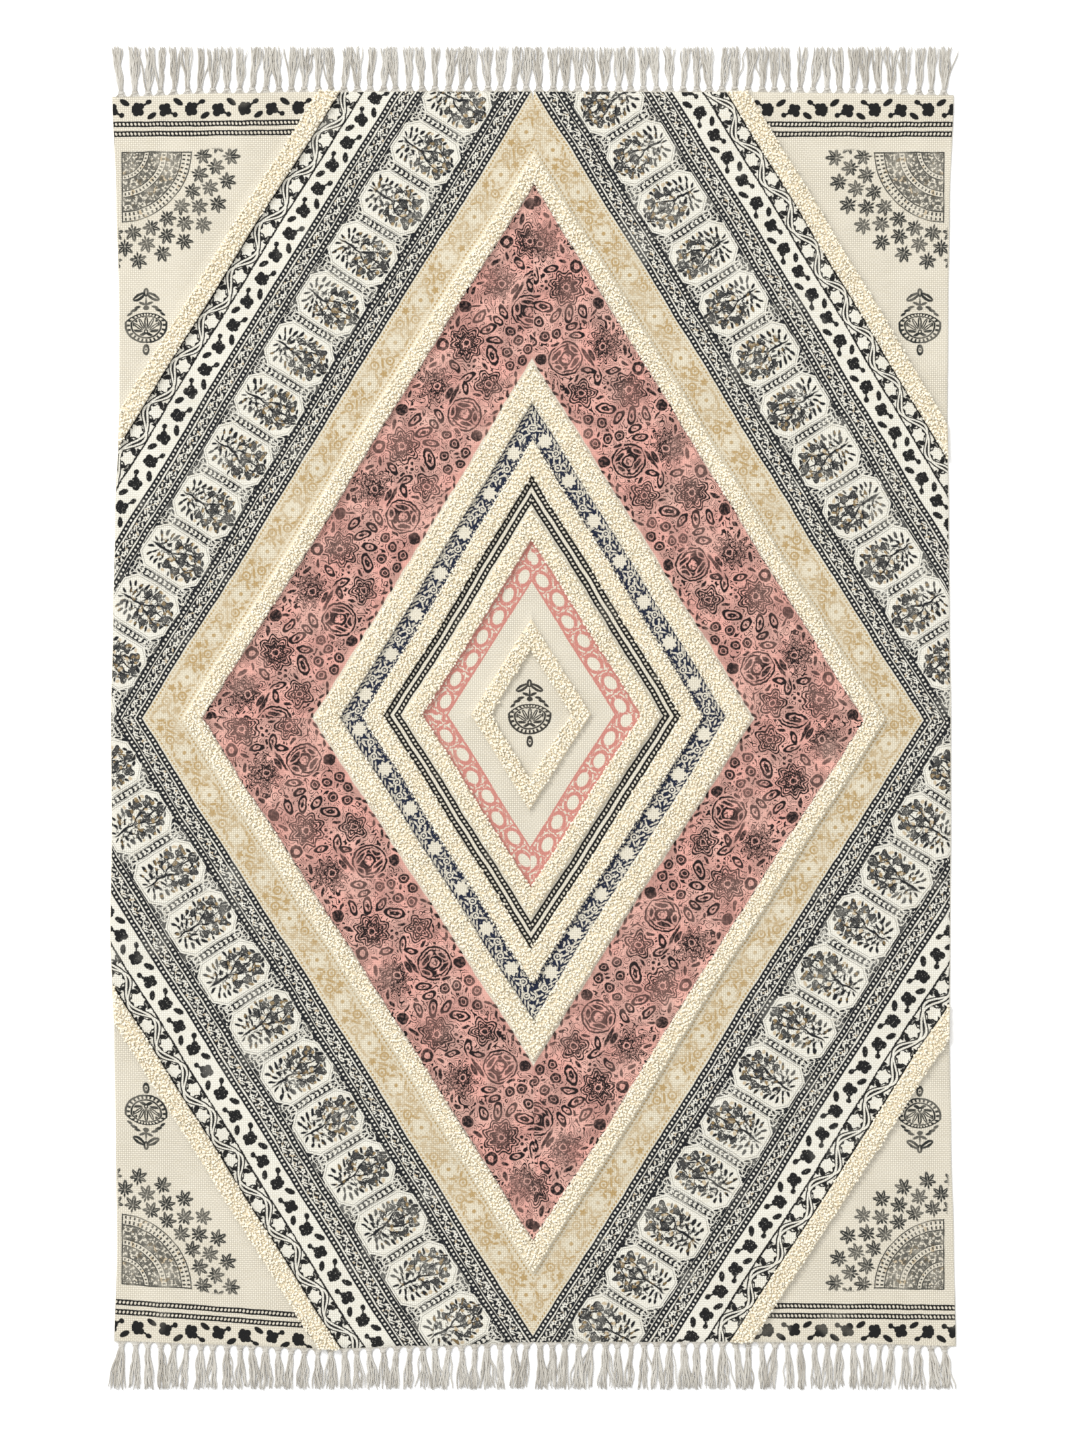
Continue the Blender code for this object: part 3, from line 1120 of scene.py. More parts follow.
@dataclass(frozen=True)
class Buti:
    """A small flower block, cut with mirrored halves, in millimetres from its middle.

    Attributes:
        crown: The leaves on top and at the body's shoulders.
        veins: The bare veins of the leaves.
        body: The round body, before it tapers.
        taper: How strongly the body narrows towards the crown.
        petals: The petals in the body.
        ribs: Their bare ribs.
        drop: The drop below.
        pip: The spot in the drop.
        beads: How many beads run round the body.
    """

    crown: tuple[Shape, ...] = (
        Oval(0, 42.4, 4, 6.4), Oval(10.4, 36, 10.2, 4.8, -30), Oval(0, 27, 1.4, 9),
        Oval(5.4, 26.6, 5.4, 2, 22), Oval(0, 20, 4.4, 3.6), Oval(17.4, 17, 5.6, 2.2, -20),
        Oval(12.6, 21.4, 5, 2, -12), Oval(23.4, 11.4, 4.6, 2, -34),
    )
    veins: tuple[Shape, ...] = (Oval(0, 42.4, 0.7, 3.6), Oval(10.6, 36, 6.4, 0.8, -30))
    body: Oval = Oval(0, -4.6, 31, 26)
    taper: float = 0.62
    petals: tuple[Shape, ...] = (
        Oval(0, -1, 2.9, 9.6), Oval(6.6, -2, 8.4, 2.5, 62), Oval(11.6, -6.4, 8.6, 2.4, 34),
        Oval(12.8, -12.6, 7.6, 2.2, 4), Oval(4, -17, 6.8, 2.2, -28), Oval(15.6, 3, 4.4, 2.2, 52),
        Oval(7, 9.4, 4.6, 2.2, 40), Oval(18.4, -2.6, 3.6, 1.9, 80), Dot(0, -13, 3.4), Dot(0, 11.6, 2.4),
    )
    ribs: tuple[Shape, ...] = (
        Oval(0, -1, 0.7, 6.4), Oval(6.6, -2, 5.4, 0.6, 62), Oval(11.6, -6.4, 5.6, 0.6, 34),
        Dot(0, -13, 1.2),
    )
    drop: Shape = Oval(0, -40.4, 4.6, 7.6)
    pip: Shape = Dot(0, -40, 1.6)
    beads: float = 24.0

    def mask(self, x: Field, y: Field) -> Field:
        """Draw the block.

        Args:
            x: Place across.
            y: Place towards the crown.

        Returns:
            The block's ink.
        """
        point = place(abs(x), y).wobble(0.2, 0.5)
        crown = joined(point, self.crown).inked() & ~joined(point, self.veins).inked(0.3)
        body = (y | 0.0).scaled(self.taper, self.body.distance(point))
        angle = (y - self.body.y).math("ARCTAN2", x)
        beads = (angle * self.beads).math("COSINE").ramp(-0.25, 0.15) & body.strip(-6.4, -1.4)
        petals = joined(point, self.petals).inked() & ~joined(point, self.ribs).inked(0.3)
        drop = self.drop.distance(point).line(-1.0, 1.5).least(self.pip.distance(point)).inked()
        rims = body.line(-1.2, 1.3).inked() | body.line(-8.0, 1.2).inked()
        return crown | rims | beads | ((body + 9.6).inked() & petals) | drop


@dataclass(frozen=True)
class CentreField(GroundCloth):
    """The innermost diamond with its one flower block.

    Attributes:
        spot: The block's middle.
    """

    spot: Pair = (-5.8, 5.8)

    def coats(self, at: Field) -> Coats:
        """Lay the print's inks in turn."""
        x, y, _ = at.from_spot(*self.spot).parts()
        return [(Buti().mask(x, y) & 0.95, BLACK_INK)]


@dataclass(frozen=True)
class CornerField(GroundCloth):
    """A corner's triangle: spots and cords along the end, a quarter mandala with sprigs, and a flower block.

    Places are millimetres in from the rug's side edge and its end edge.

    Attributes:
        hub: The mandala's middle.
        radius: Its radius.
        spot: The flower block's middle.
        bold_rings: Radii of the mandala's bolder rings.
        fine_rings: Radii of its finer ones.
        beads: Inner and outer radius of each ring of beads, and how many make a full turn.
        plain: Inner and outer radius of the rings without scrolls.
        arcs: Radius and first angle, in degrees, of each arc of sprigs.
        gap: Degrees from sprig to sprig.
        sprig: A sprig's right half.
        veins: Its pale veins.
        cords: Middles of the two cords along the end.
        cord_half: Half a cord's width.
        cord_pitch: From bead to bead of a cord.
        spots_start: Where the row of spots starts.
        slopes: How askew the blocks lie, upper left, lower left and lower right.
        lift: How much nearer the end they lie in the lower right one.
    """

    hub: Pair = (7.0, 84.5)
    radius: float = 102.0
    spot: Pair = (43.0, 330.0)
    bold_rings: tuple[float, ...] = (101.0, 87.0, 66.4, 57.0, 40.6, 33.4)
    fine_rings: tuple[float, ...] = (25.0, 17.0, 9.0)
    beads: tuple[Triple, ...] = (
        (59.6, 64.0, 68.0), (35.6, 38.6, 44.0), (88.6, 93.2, 92.0), (95.4, 99.6, 92.0),
    )
    plain: tuple[Pair, ...] = ((57.0, 67.0), (33.0, 40.4), (87.2, 110.0))
    arcs: tuple[Pair, ...] = ((118.0, 3.5), (138.5, 9.7), (159.0, 3.0))
    gap: float = 13.0
    sprig: tuple[Shape, ...] = (
        Oval(0, 5.6, 2.9, 6.8), Oval(5.4, 3.6, 6.4, 2.8, 44), Oval(6.4, -2.2, 5.6, 2.6, -6),
        Oval(3.4, -5.6, 4, 1.9, -50), Oval(0, -8.6, 1.4, 5),
    )
    veins: tuple[Shape, ...] = (
        Oval(0, 5.6, 0.5, 4.4), Oval(5.4, 3.6, 4.2, 0.5, 44), Oval(6.4, -2.2, 3.6, 0.5, -6),
    )
    cords: Pair = (45.4, 59.4)
    cord_half: float = 4.2
    cord_pitch: float = 5.4
    spots_start: Pair = (30.0, 5.6)
    slopes: Triple = (0.011, 0.073, -0.011)
    lift: float = 8.4

    def laid(self, at: Field) -> Field:
        """Set the blocks a little askew, as they were stamped, by another amount in each corner.

        Args:
            at: The place in from the side and from the end.

        Returns:
            The place on the blocks.
        """
        x, y, _ = at.parts()
        across, length, _ = rug_place(at.socket.id_data).parts()
        left, lower = across.math("LESS_THAN", 0.0), length.math("LESS_THAN", 0.0)
        lower_right = lower & ~left
        upper_left, lower_left, right = self.slopes
        slope = (lower & left & (lower_left - upper_left)) + (left & upper_left) + (lower_right & right)
        return place(x, (x * slope) + lower_right.scaled(self.lift, y))

    def border(self, at: Field) -> Field:
        """Draw the spots and the two cords along the rug's end.

        Args:
            at: The place on the blocks.

        Returns:
            Their ink.
        """
        spotted = SpottedBand("spots")
        point, _ = at.from_spot(*self.spots_start).repeat(spotted.pitch, spotted.first)
        drawn = joined(point, spotted.shapes).inked()
        beads, _ = at.repeat(self.cord_pitch, -self.cord_pitch / 2)
        for middle in self.cords:
            cord = at.parts()[1].strip(middle - self.cord_half, middle + self.cord_half)
            drawn = drawn | (cord & ~Oval(0, middle, 2.2, 1.5, 58).distance(beads).inked())
        return drawn

    def mandala(self, at: Field, spoke: Field) -> tuple[Field, Field]:
        """Draw the quarter mandala: rings, beads, scrolls and two rails.

        Args:
            at: The place on the blocks.
            spoke: The same from the hub.

        Returns:
            The inks of its lines and of the ochre flecks in it.
        """
        x, y, _ = spoke.parts()
        reach = spoke.length()
        angle = y.math("ARCTAN2", x)
        petals = (angle * 26.0).math("COSINE") * (reach * 0.50).math("COSINE")
        scroll = (petals.ramp(0.05, 0.35) & 0.9) | (at.noise(0.26).ramp(0.45, 0.52) & 0.85)
        drawn = scroll & reach.strip(2.0, 87.0)
        for low, high in self.plain:
            drawn = drawn & ~reach.strip(low, high)
        for rings, half in ((self.bold_rings, 0.9), (self.fine_rings, 0.7)):
            for level in rings:
                drawn = drawn | reach.strip(level - half, level + half)
        for low, high, count in self.beads:
            drawn = drawn | (reach.strip(low, high) & (angle * count).math("COSINE").ramp(0.0, 0.5))
        drawn = drawn | x.strip(0.2, 2.6) | y.strip(0.2, 2.6)
        quarter = x.ramp(0.0, 0.8) & y.ramp(0.0, 0.8) & reach.ramp(self.radius, self.radius + 0.8, 1.0, 0.0)
        return drawn & quarter, at.noise(0.10, 1.0).ramp(0.60, 0.66) & quarter

    def arc(self, angle: Field, reach: Field, radius: float, first: float) -> Field:
        """Draw one arc of sprigs.

        Args:
            angle: Angle at the hub, in degrees.
            reach: Distance from the hub.
            radius: The arc's radius.
            first: Its first sprig's angle.

        Returns:
            The arc's ink.
        """
        turned = (angle - first).math("WRAP", self.gap / 2, -self.gap / 2)
        point = place(abs(turned * math.radians(radius)), reach - radius).wobble(0.30, 1.6)
        veins = joined(point, self.veins).inked(0.3)
        return joined(point, self.sprig).inked(0.5) & veins.scaled(-0.6, 1.0)

    def sprigs(self, spoke: Field) -> Field:
        """Draw three arcs of leaf clusters round the hub, each with its stem towards it.

        Args:
            spoke: The place from the hub.

        Returns:
            Their ink.
        """
        x, y, _ = spoke.parts()
        angle = y.math("ARCTAN2", x) * math.degrees(1.0)
        inner, middle, outer = (self.arc(angle, spoke.length(), *arc) for arc in self.arcs)
        return (inner | middle | outer) & angle.ramp(-2.0, 0.0) & angle.ramp(91.0, 93.0, 1.0, 0.0)

    def coats(self, at: Field) -> Coats:
        """Lay the print's inks in turn.

        Args:
            at: Place on the block, in millimetres.

        Returns:
            The inks.
        """
        at = self.laid(at)
        across, inward, _ = at.from_spot(*self.spot).parts()
        spoke = at.from_spot(*self.hub)
        mandala, flecks = self.mandala(at, spoke)
        patchy = at.noise(0.035).ramp(0.35, 0.55, 0.72, 1.0)
        stamped = self.sprigs(spoke) | Buti().mask(across, inward * -1.0)
        return [
            (flecks & 0.5, OCHRE_INK),
            (mandala & patchy & 0.95, GREY_INK),
            (stamped & (patchy | 0.86), GREY_INK),
            (self.border(at), BLACK_INK),
        ]


@dataclass(frozen=True)
class Yarn:
    """A soft undyed yarn whose tufts or strands differ a little.

    Attributes:
        name: The finish's name.
        pale: Lightest yarn.
        deep: Deepest yarn.
        root_shade: Painted shade, the colour low down between the yarns and in their twists.
        low: Height where the painted shade ends, in millimetres.
        high: Height where the yarn's own colour begins.
        twist: Twist lines for each millimetre.
    """

    name: str
    pale: Colour
    deep: Colour
    root_shade: Colour
    low: float
    high: float
    twist: float = 1.1

    def material(self) -> bpy.types.Material:
        """Lay out the finish.

        Returns:
            The material.
        """
        paint = Paint.started(self.name)
        rug = paint.place()
        tone = paint.read("Attribute", "Fac", attribute_name="tone")
        shade = rug.noise(0.02, 3.0).scaled(0.6, tone * 0.7)
        fibre = rug.vector("MULTIPLY", (1.0, 1.0, 0.35)).noise(self.twist, 3.0, 0.7)
        body = shade.ramp(0.25, 0.9).mix(self.deep, self.pale)
        # Painted shade: the twist grooves take the yarn's shade colour.
        body = fibre.ramp(0.35, 0.75, 0.22, 0.0).mix(body, self.root_shade)
        # Painted shade: the yarn darkens to its shade colour low down, near the mat or the floor.
        paint.feed("Base Color", rug.parts()[2].ramp(self.low, self.high).mix(self.root_shade, body))
        paint.feed("Roughness", fibre.ramp(0.2, 0.8, 0.78, 0.98))
        paint.set(Specular_IOR_Level=0.2, Sheen_Weight=0.12, Sheen_Roughness=0.5)
        paint.emboss(fibre, 0.5, 0.0006)
        return paint.material


# Each yarn's third colour is painted shade: at the roots between the tufts, and under the strands on the
# floor.
PILE_YARN = Yarn("pile_yarn", dye(255, 250, 234), dye(250, 240, 217), dye(243, 230, 204), 6.3, 9.2)
FRINGE_YARN = Yarn("fringe_yarn", dye(216, 212, 203), dye(182, 176, 165), dye(140, 135, 125), 0.3, 1.9)
# Each cotton's dark colour is painted shade in the hollows of its weave.
RING_COTTON = Cotton(light=dye(242, 239, 227), dark=dye(192, 189, 177))
FIELD_COTTON = Cotton(light=dye(235, 228, 211), dark=dye(172, 165, 149))
MAT_COTTON = Cotton(light=dye(240, 229, 203), dark=dye(216, 203, 175), pitch=3.2, bump=0.9)
OCHRE_COTTON = Cotton(light=dye(232, 223, 201), dark=dye(180, 170, 146))
PRINTS = {
    Kind.CENTRE: CentreField("centre_field", FIELD_COTTON),
    Kind.PLAIN: GroundCloth("plain_cotton", FIELD_COTTON),
    Kind.PILE: GroundCloth("pile_mat", MAT_COTTON),
    Kind.TRELLIS: TrellisBand("pink_trellis"),
    Kind.ROPE_PAIR: RopePair("chain_pair"),
    Kind.NAVY: NavyBand("navy_daisies"),
    Kind.CORAL: CoralBand("coral_garden"),
    Kind.OCHRE: OchreBand("ochre_border", OCHRE_COTTON),
    Kind.ROPE: RopeBand("beaded_cord", RING_COTTON),
    Kind.LEAFY: LeafyBand("leafy_scroll", RING_COTTON),
    Kind.MEDALLION: MedallionBand("tree_medallions", RING_COTTON),
    Kind.SPOTS: SpottedBand("spotted_band", RING_COTTON),
    Kind.VINE: VineBand("vine_band", RING_COTTON),
    Kind.CORNER: CornerField("corner_field", FIELD_COTTON),
}


@dataclass(frozen=True)
class EdgeRow:
    """How far one place of an edge stands out past the plain rectangle.

    Attributes:
        along: Where on the edge.
        low: Outward reach of the left or the bottom edge there.
        high: Outward reach of the right or the top edge there.
    """

    along: float
    low: float
    high: float


SIDE_ROWS = (
    EdgeRow(-0.90, 0.003, 0.009), EdgeRow(-0.76, -0.001, 0.006), EdgeRow(-0.61, 0.001, 0.002),
    EdgeRow(-0.46, 0.003, 0.000), EdgeRow(-0.31, 0.009, 0.001), EdgeRow(-0.16, 0.007, 0.002),
    EdgeRow(0.00, 0.008, 0.002), EdgeRow(0.14, 0.005, 0.000), EdgeRow(0.29, 0.002, -0.001),
    EdgeRow(0.44, -0.004, -0.003), EdgeRow(0.59, -0.004, -0.002), EdgeRow(0.74, 0.000, 0.000),
    EdgeRow(0.90, 0.006, 0.006),
)
END_ROWS = (
    EdgeRow(-0.60, -0.002, -0.005), EdgeRow(-0.45, 0.003, 0.000), EdgeRow(-0.30, 0.009, 0.002),
    EdgeRow(-0.16, 0.005, 0.003), EdgeRow(0.00, 0.000, 0.003), EdgeRow(0.30, -0.001, 0.002),
    EdgeRow(0.45, 0.000, 0.000), EdgeRow(0.60, 0.005, -0.003),
)


@dataclass(frozen=True)
class Outline:
    """The cloth's edge: a rectangle with a hand-woven waver.

    Attributes:
        width: Plain width.
        length: Plain length.
    """

    width: float = 1.200
    length: float = 1.800

    @staticmethod
    def eased(rows: tuple[EdgeRow, ...], column: str, along: np.ndarray) -> np.ndarray:
        """Read a column of an edge table, passing smoothly through every row.

        Args:
            rows: The table.
            column: "low" or "high".
            along: Places on the edge.

        Returns:
            The outward reach at each place.
        """
        stations = np.array([row.along for row in rows])
        reaches = np.array([getattr(row, column) for row in rows])
        below = np.clip(np.searchsorted(stations, along, side="right") - 1, 0, len(rows) - 2)
        share = smoothstep((along - stations[below]) / (stations[below + 1] - stations[below]))
        return reaches[below] * (1 - share) + reaches[below + 1] * share

    def side_x(self, side: int, y: np.ndarray) -> np.ndarray:
        """X of the left (-1) or right (+1) edge."""
        column = "low" if side < 0 else "high"
        return side * (self.width / 2 + self.eased(SIDE_ROWS, column, np.asarray(y, float)))

    def end_y(self, end: int, x: np.ndarray) -> np.ndarray:
        """Y of the bottom (-1) or top (+1) edge."""
        column = "low" if end < 0 else "high"
        return end * (self.length / 2 + self.eased(END_ROWS, column, np.asarray(x, float)))

    def corner(self, side: int, end: int) -> Pair:
        """The corner where a side meets an end."""
        x = float(self.side_x(side, end * self.length / 2))
        return x, float(self.end_y(end, x))


@dataclass(frozen=True)
class HangRow:
    """How the diamond of one half-width hangs on the cloth.

    Attributes:
        half: The half-width.
        x: Where its middle lies.
        y: Where its middle lies.
        left: How far its left tip, or its ends on the left edge, lie below the middle.
        right: The same at the right.
    """

    half: float
    x: float
    y: float
    left: float
    right: float


CORNER_TOUCH = 1e-7
HANG_ROWS = (
    HangRow(0.072, -0.0040, 0.0040, 0.0000, 0.0000), HangRow(0.138, -0.0030, 0.0055, 0.0020, 0.0000),
    HangRow(0.200, -0.0015, 0.0075, 0.0040, 0.0040), HangRow(0.262, 0.0000, 0.0095, 0.0070, 0.0085),
    HangRow(0.400, 0.0005, 0.0090, 0.0080, 0.0100), HangRow(0.560, 0.0000, 0.0085, 0.0080, 0.0120),
    HangRow(0.610, 0.0000, 0.0065, 0.0075, 0.0122), HangRow(0.720, 0.0000, 0.0030, 0.0070, 0.0154),
    HangRow(0.780, 0.0000, 0.0000, 0.0040, 0.0145), HangRow(0.853, 0.0000, -0.0025, 0.0020, 0.0210),
    HangRow(1.160, 0.0000, 0.0000, 0.0000, 0.0000),
)


@dataclass(frozen=True)
class Ripple:
    """One smooth wave of straying: turns for each metre along X and Y, a start and a share of the whole."""

    x: float
    y: float
    start: float
    share: float

    def height(self, x: np.ndarray, y: np.ndarray) -> np.ndarray:
        """How high the wave stands at each place."""
        return self.share * np.sin(self.x * x + self.y * y + self.start)


@dataclass
class Layout:
    """Where the nested diamonds run on the cloth.

    Attributes:
        outline: The cloth's edge.
        wander: How far a band's edge strays.
        edge_calm: Inside this distance of the cloth's edge the straying dies away.
        across: The waves that shift a point along X.
        along: The waves that shift it along Y.
        passes: How often a diamond's ends are worked out.
        touch: Less than this counts as touching.
    """

    outline: Outline = field(default_factory=Outline)
    wander: float = 0.0019
    edge_calm: float = 0.05
    across: tuple[Ripple, Ripple] = (Ripple(3.7, 9.1, 0.6, 1.0), Ripple(-13.0, 31.0, 2.1, 0.6))
    along: tuple[Ripple, Ripple] = (Ripple(8.3, -4.4, 1.9, 1.0), Ripple(27.0, 17.0, 0.4, 0.6))
    passes: int = 6
    touch: float = 1e-9

    @staticmethod
    def hang(half: np.ndarray, column: str) -> np.ndarray:
        """Read a column of the table of how diamonds hang."""
        return np.interp(half, [row.half for row in HANG_ROWS], [getattr(row, column) for row in HANG_ROWS])

    def reach(self, side: int, end: int) -> float:
        """Half-width of the diamond that passes through a corner."""
        x, y = self.outline.corner(side, end)
        return abs(x) + abs(y) / DIAMOND_SLOPE

    def ends(self, side: int, end: int, half: np.ndarray) -> tuple[np.ndarray, np.ndarray]:
        """Both ends of the diamonds' sides in one quarter of the rug.

        Args:
            side: -1 for the left half, +1 for the right one.
            end: -1 for the lower half, +1 for the upper one.
            half: Half-widths.

        Returns:
            The ends at the side edge and those at the end edge, as rows of x and y.
        """
        mid_x, mid_y = self.hang(half, "x"), self.hang(half, "y")
        corner_x, corner_y = self.outline.corner(side, end)
        y = mid_y.copy()
        x = mid_x.copy()
        for _ in range(self.passes):
            edge_x = self.outline.side_x(side, y)
            y = mid_y + end * DIAMOND_SLOPE * np.maximum(half - side * (edge_x - mid_x), 0.0)
            edge_y = self.outline.end_y(end, x)
            x = mid_x + side * np.maximum(half - end * (edge_y - mid_y) / DIAMOND_SLOPE, 0.0)
        on_side = end * (y - mid_y) > self.touch
        on_end = side * (x - mid_x) > self.touch
        first_y = np.where(on_side, y, mid_y) - self.hang(half, "left" if side < 0 else "right")
        edge_x = self.outline.side_x(side, first_y)
        first_x = np.where(on_side, edge_x, side * np.minimum(side * mid_x + half, side * edge_x))
        last_y = np.where(on_end, self.outline.end_y(end, x), mid_y + end * half * DIAMOND_SLOPE)
        first = np.stack([first_x, first_y], -1)
        last = np.stack([np.where(on_end, x, mid_x), last_y], -1)
        past = half >= self.reach(side, end) - CORNER_TOUCH
        first[past] = (corner_x, corner_y)
        last[past] = (corner_x, corner_y)
        return first, last

    def points(self, side: int, end: int, half: np.ndarray, share: np.ndarray) -> np.ndarray:
        """Points on the diamonds' sides, with the waver of the hand.

        Args:
            side: Which half across.
            end: Which half along.
            half: Half-width for each point.
            share: How far along the diamond's side, 0 to 1.

        Returns:
            Rows of x and y.
        """
        first, last = self.ends(side, end, half)
        straight = first + (last - first) * share[:, None]
        return straight + self.stray(straight)

    def stray(self, points: np.ndarray) -> np.ndarray:
        """Work out the small smooth shift of each point.

        Args:
            points: Rows of x and y.

        Returns:
            The shift of each, none at the cloth's edge.
        """
        x, y = points[:, 0], points[:, 1]
        from_side = self.outline.width / 2 - np.abs(x)
        from_end = self.outline.length / 2 - np.abs(y)
        calm = smoothstep(np.minimum(from_side, from_end) / self.edge_calm)
        shifts = [sum(ripple.height(x, y) for ripple in ripples) for ripples in (self.across, self.along)]
        whole = sum(ripple.share for ripple in self.across)
        return np.stack(shifts, -1) * (self.wander / whole * calm)[:, None]


def linked(name: str, mesh: bpy.types.Mesh) -> bpy.types.Object:
    """Put a mesh into the scene, smooth shaded.

    Args:
        name: The piece's name.
        mesh: The mesh.

    Returns:
        The new object.
    """
    mesh.shade_smooth()
    piece = bpy.data.objects.new(name, mesh)
    bpy.context.scene.collection.objects.link(piece)
    return piece


def mesh_object(name: str, points: np.ndarray, faces: np.ndarray) -> bpy.types.Object:
    """Make and link an object whose faces all have as many corners.

    Args:
        name: The piece's name.
        points: Rows of x, y and z.
        faces: Rows of vertex numbers.

    Returns:
        The new object.
    """
    mesh = bpy.data.meshes.new(name)
    corners = faces.shape[1]
    mesh.vertices.add(len(points))
    mesh.vertices.foreach_set("co", points.astype(np.float32).ravel())
    mesh.loops.add(faces.size)
    mesh.loops.foreach_set("vertex_index", faces.astype(np.int32).ravel())
    mesh.polygons.add(len(faces))
    mesh.polygons.foreach_set("loop_start", np.arange(0, faces.size, corners, dtype=np.int32))
    mesh.polygons.foreach_set("loop_total", np.full(len(faces), corners, dtype=np.int32))
    mesh.update(calc_edges=True)
    mesh.validate()
    return linked(name, mesh)


def set_uv(mesh: bpy.types.Mesh, name: str, places: np.ndarray) -> None:
    """Store a UV map from one row of u and v for each corner of each face."""
    layer = mesh.uv_layers.new(name=name)
    layer.data.foreach_set("uv", places.astype(np.float32).ravel())


@dataclass
class Cloth:
    """The woven, printed cloth with its low mats where pile is worked in.

    Attributes:
        layout: Where the bands run.
        thickness: Of the flat weave.
        mat_top: Height of the knotted mat under the pile.
        shoulder: How far a mat takes to rise at its edge.
        hem: Rounding of the cloth's edge.
        row_gap: Widest strip between two rows of vertices.
        steps: Vertices along a diamond's side.
        back_share: Share of the bake map for the underside.
        lip: Share of a mat's rise made at its very edge.
        rise_rows: Rows of vertices in the shoulder.
        swell: How much the cloth's height varies.
        swells: Two waves to be multiplied for it.
        weld: Points closer than this are one.
        points: The vertices laid so far.
        faces: The face corners laid so far.
        prints: The print place of each corner.
        bands: Each face's band number.
    """

    layout: Layout = field(default_factory=Layout)
    thickness: float = 0.003
    mat_top: float = 0.0075
    shoulder: float = 0.003
    hem: float = 0.0008
    row_gap: float = 0.014
    steps: int = 56
    back_share: float = 0.06
    lip: float = 0.18
    rise_rows: Pair = (0.35, 1.0)
    swell: float = 0.00025
    swells: tuple[Ripple, Ripple] = (Ripple(41.0, 0.0, 3.0, 1.0), Ripple(0.0, 37.0, 1.0, 1.0))
    weld: float = 1e-5
    points: list[Triple] = field(default_factory=list)
    faces: list[tuple[int, ...]] = field(default_factory=list)
    prints: list[Pair] = field(default_factory=list)
    bands: list[int] = field(default_factory=list)

    def rows(self) -> list[tuple[float, float, int]]:
        """Work out the rows of vertices from the middle outwards.

        Returns:
            Half-width, height and band number of each row, with a band's shared edge listed for both bands.
        """
        outline = self.layout.outline
        touching = [abs(float(outline.side_x(side, 0.0))) for side in (-1, 1)]
        touching += [abs(float(outline.end_y(end, 0.0))) / DIAMOND_SLOPE for end in (-1, 1)]
        found = []
        inner = 0.0
        for number, band in enumerate(BANDS):
            count = max(2, math.ceil((band.outer - inner) / self.row_gap))
            halves = {inner + (band.outer - inner) * step / count for step in range(count + 1)}
            halves |= {half for half in touching if inner < half < band.outer}
            if band.kind is Kind.PILE:
                rise = self.shoulder / ACROSS
                halves |= {inner + rise * share for share in self.rise_rows}
                halves |= {band.outer - rise * share for share in self.rise_rows}
            for half in sorted(halves):
                from_edge = min(half - inner, band.outer - half) * ACROSS
                risen = float(smoothstep(np.array(from_edge / self.shoulder + self.lip)))
                raised = band.kind is Kind.PILE and from_edge > self.weld / 10
                lift = (self.mat_top - self.thickness) * risen if raised else 0.0
                found.append((half, self.thickness + lift, number))
            inner = band.outer
        return found

    def print_places(self, side: int, end: int, half: float, straight: np.ndarray, number: int) -> np.ndarray:
        """Where each point of a row lies on the print block of its band, in millimetres.

        Args:
            side: Which half across.
            end: Which half along.
            half: Half-width of the row.
            straight: The row's points before they stray.
            number: The band's number.

        Returns:
            Rows of along and across.
        """
        band = BANDS[number]
        x, y = straight[:, 0], straight[:, 1]
        if band.kind is Kind.CENTRE:
            return np.stack([x, y], -1) / MM
        if band.kind is Kind.CORNER:
            from_side = self.layout.outline.width / 2 - np.abs(x)
            from_end = self.layout.outline.length / 2 - np.abs(y)
            return np.stack([from_side, from_end], -1) / MM
        inner = BANDS[number - 1].outer
        start = band.starts[QUARTERS.index((side, end))]
        mirrored = (-side * x + DIAMOND_SLOPE * end * y) / math.hypot(1.0, DIAMOND_SLOPE)
        along = -side * end * mirrored / MM - start
        across = np.full_like(along, (half - inner) * ACROSS / MM)
        return np.stack([along, across], -1)

    def lay_rows(self, side: int, end: int) -> list[tuple[int, list[list[float]], int]]:
        """Lay one quarter's rows of vertices.

        Args:
            side: Which half across.
            end: Which half along.

        Returns:
            Each row's first vertex number, print places and band number.
        """
        corner_start = BANDS[-2].outer
        squeeze = (self.layout.reach(side, end) - corner_start) / (BANDS[-1].outer - corner_start)
        share = np.arange(self.steps + 1) / self.steps
        laid = []
        for half, height, number in self.rows():
            in_corner = BANDS[number].kind is Kind.CORNER
            if in_corner:
                half = corner_start + (half - corner_start) * squeeze
            first, last = self.layout.ends(side, end, np.full(self.steps + 1, half))
            straight = first + (last - first) * share[:, None]
            moved = straight + self.layout.stray(straight)
            first_wave, second_wave = (wave.height(moved[:, 0], moved[:, 1]) for wave in self.swells)
            swell = self.swell * first_wave * second_wave
            places = self.print_places(side, end, half, moved if in_corner else straight, number)
            laid.append((len(self.points), places.tolist(), number))
            self.points += [(x, y, height + lift) for (x, y), lift in zip(moved.tolist(), swell.tolist())]
        return laid

    def add_quarter(self, side: int, end: int) -> None:
        """Join one quarter's rows with faces.

        Args:
            side: Which half across.
            end: Which half along.
        """
        laid = self.lay_rows(side, end)
        turned = side * end < 0
        for (low, low_places, number), (high, high_places, above) in zip(laid, laid[1:]):
            if number != above:
                continue
            for step in range(self.steps):
                corners = (low + step, high + step, high + step + 1, low + step + 1)
                places = (low_places[step], high_places[step], high_places[step + 1], low_places[step + 1])
                if turned:
                    corners, places = corners[::-1], places[::-1]
                self.faces.append(corners)
                self.prints += places
                self.bands.append(number)

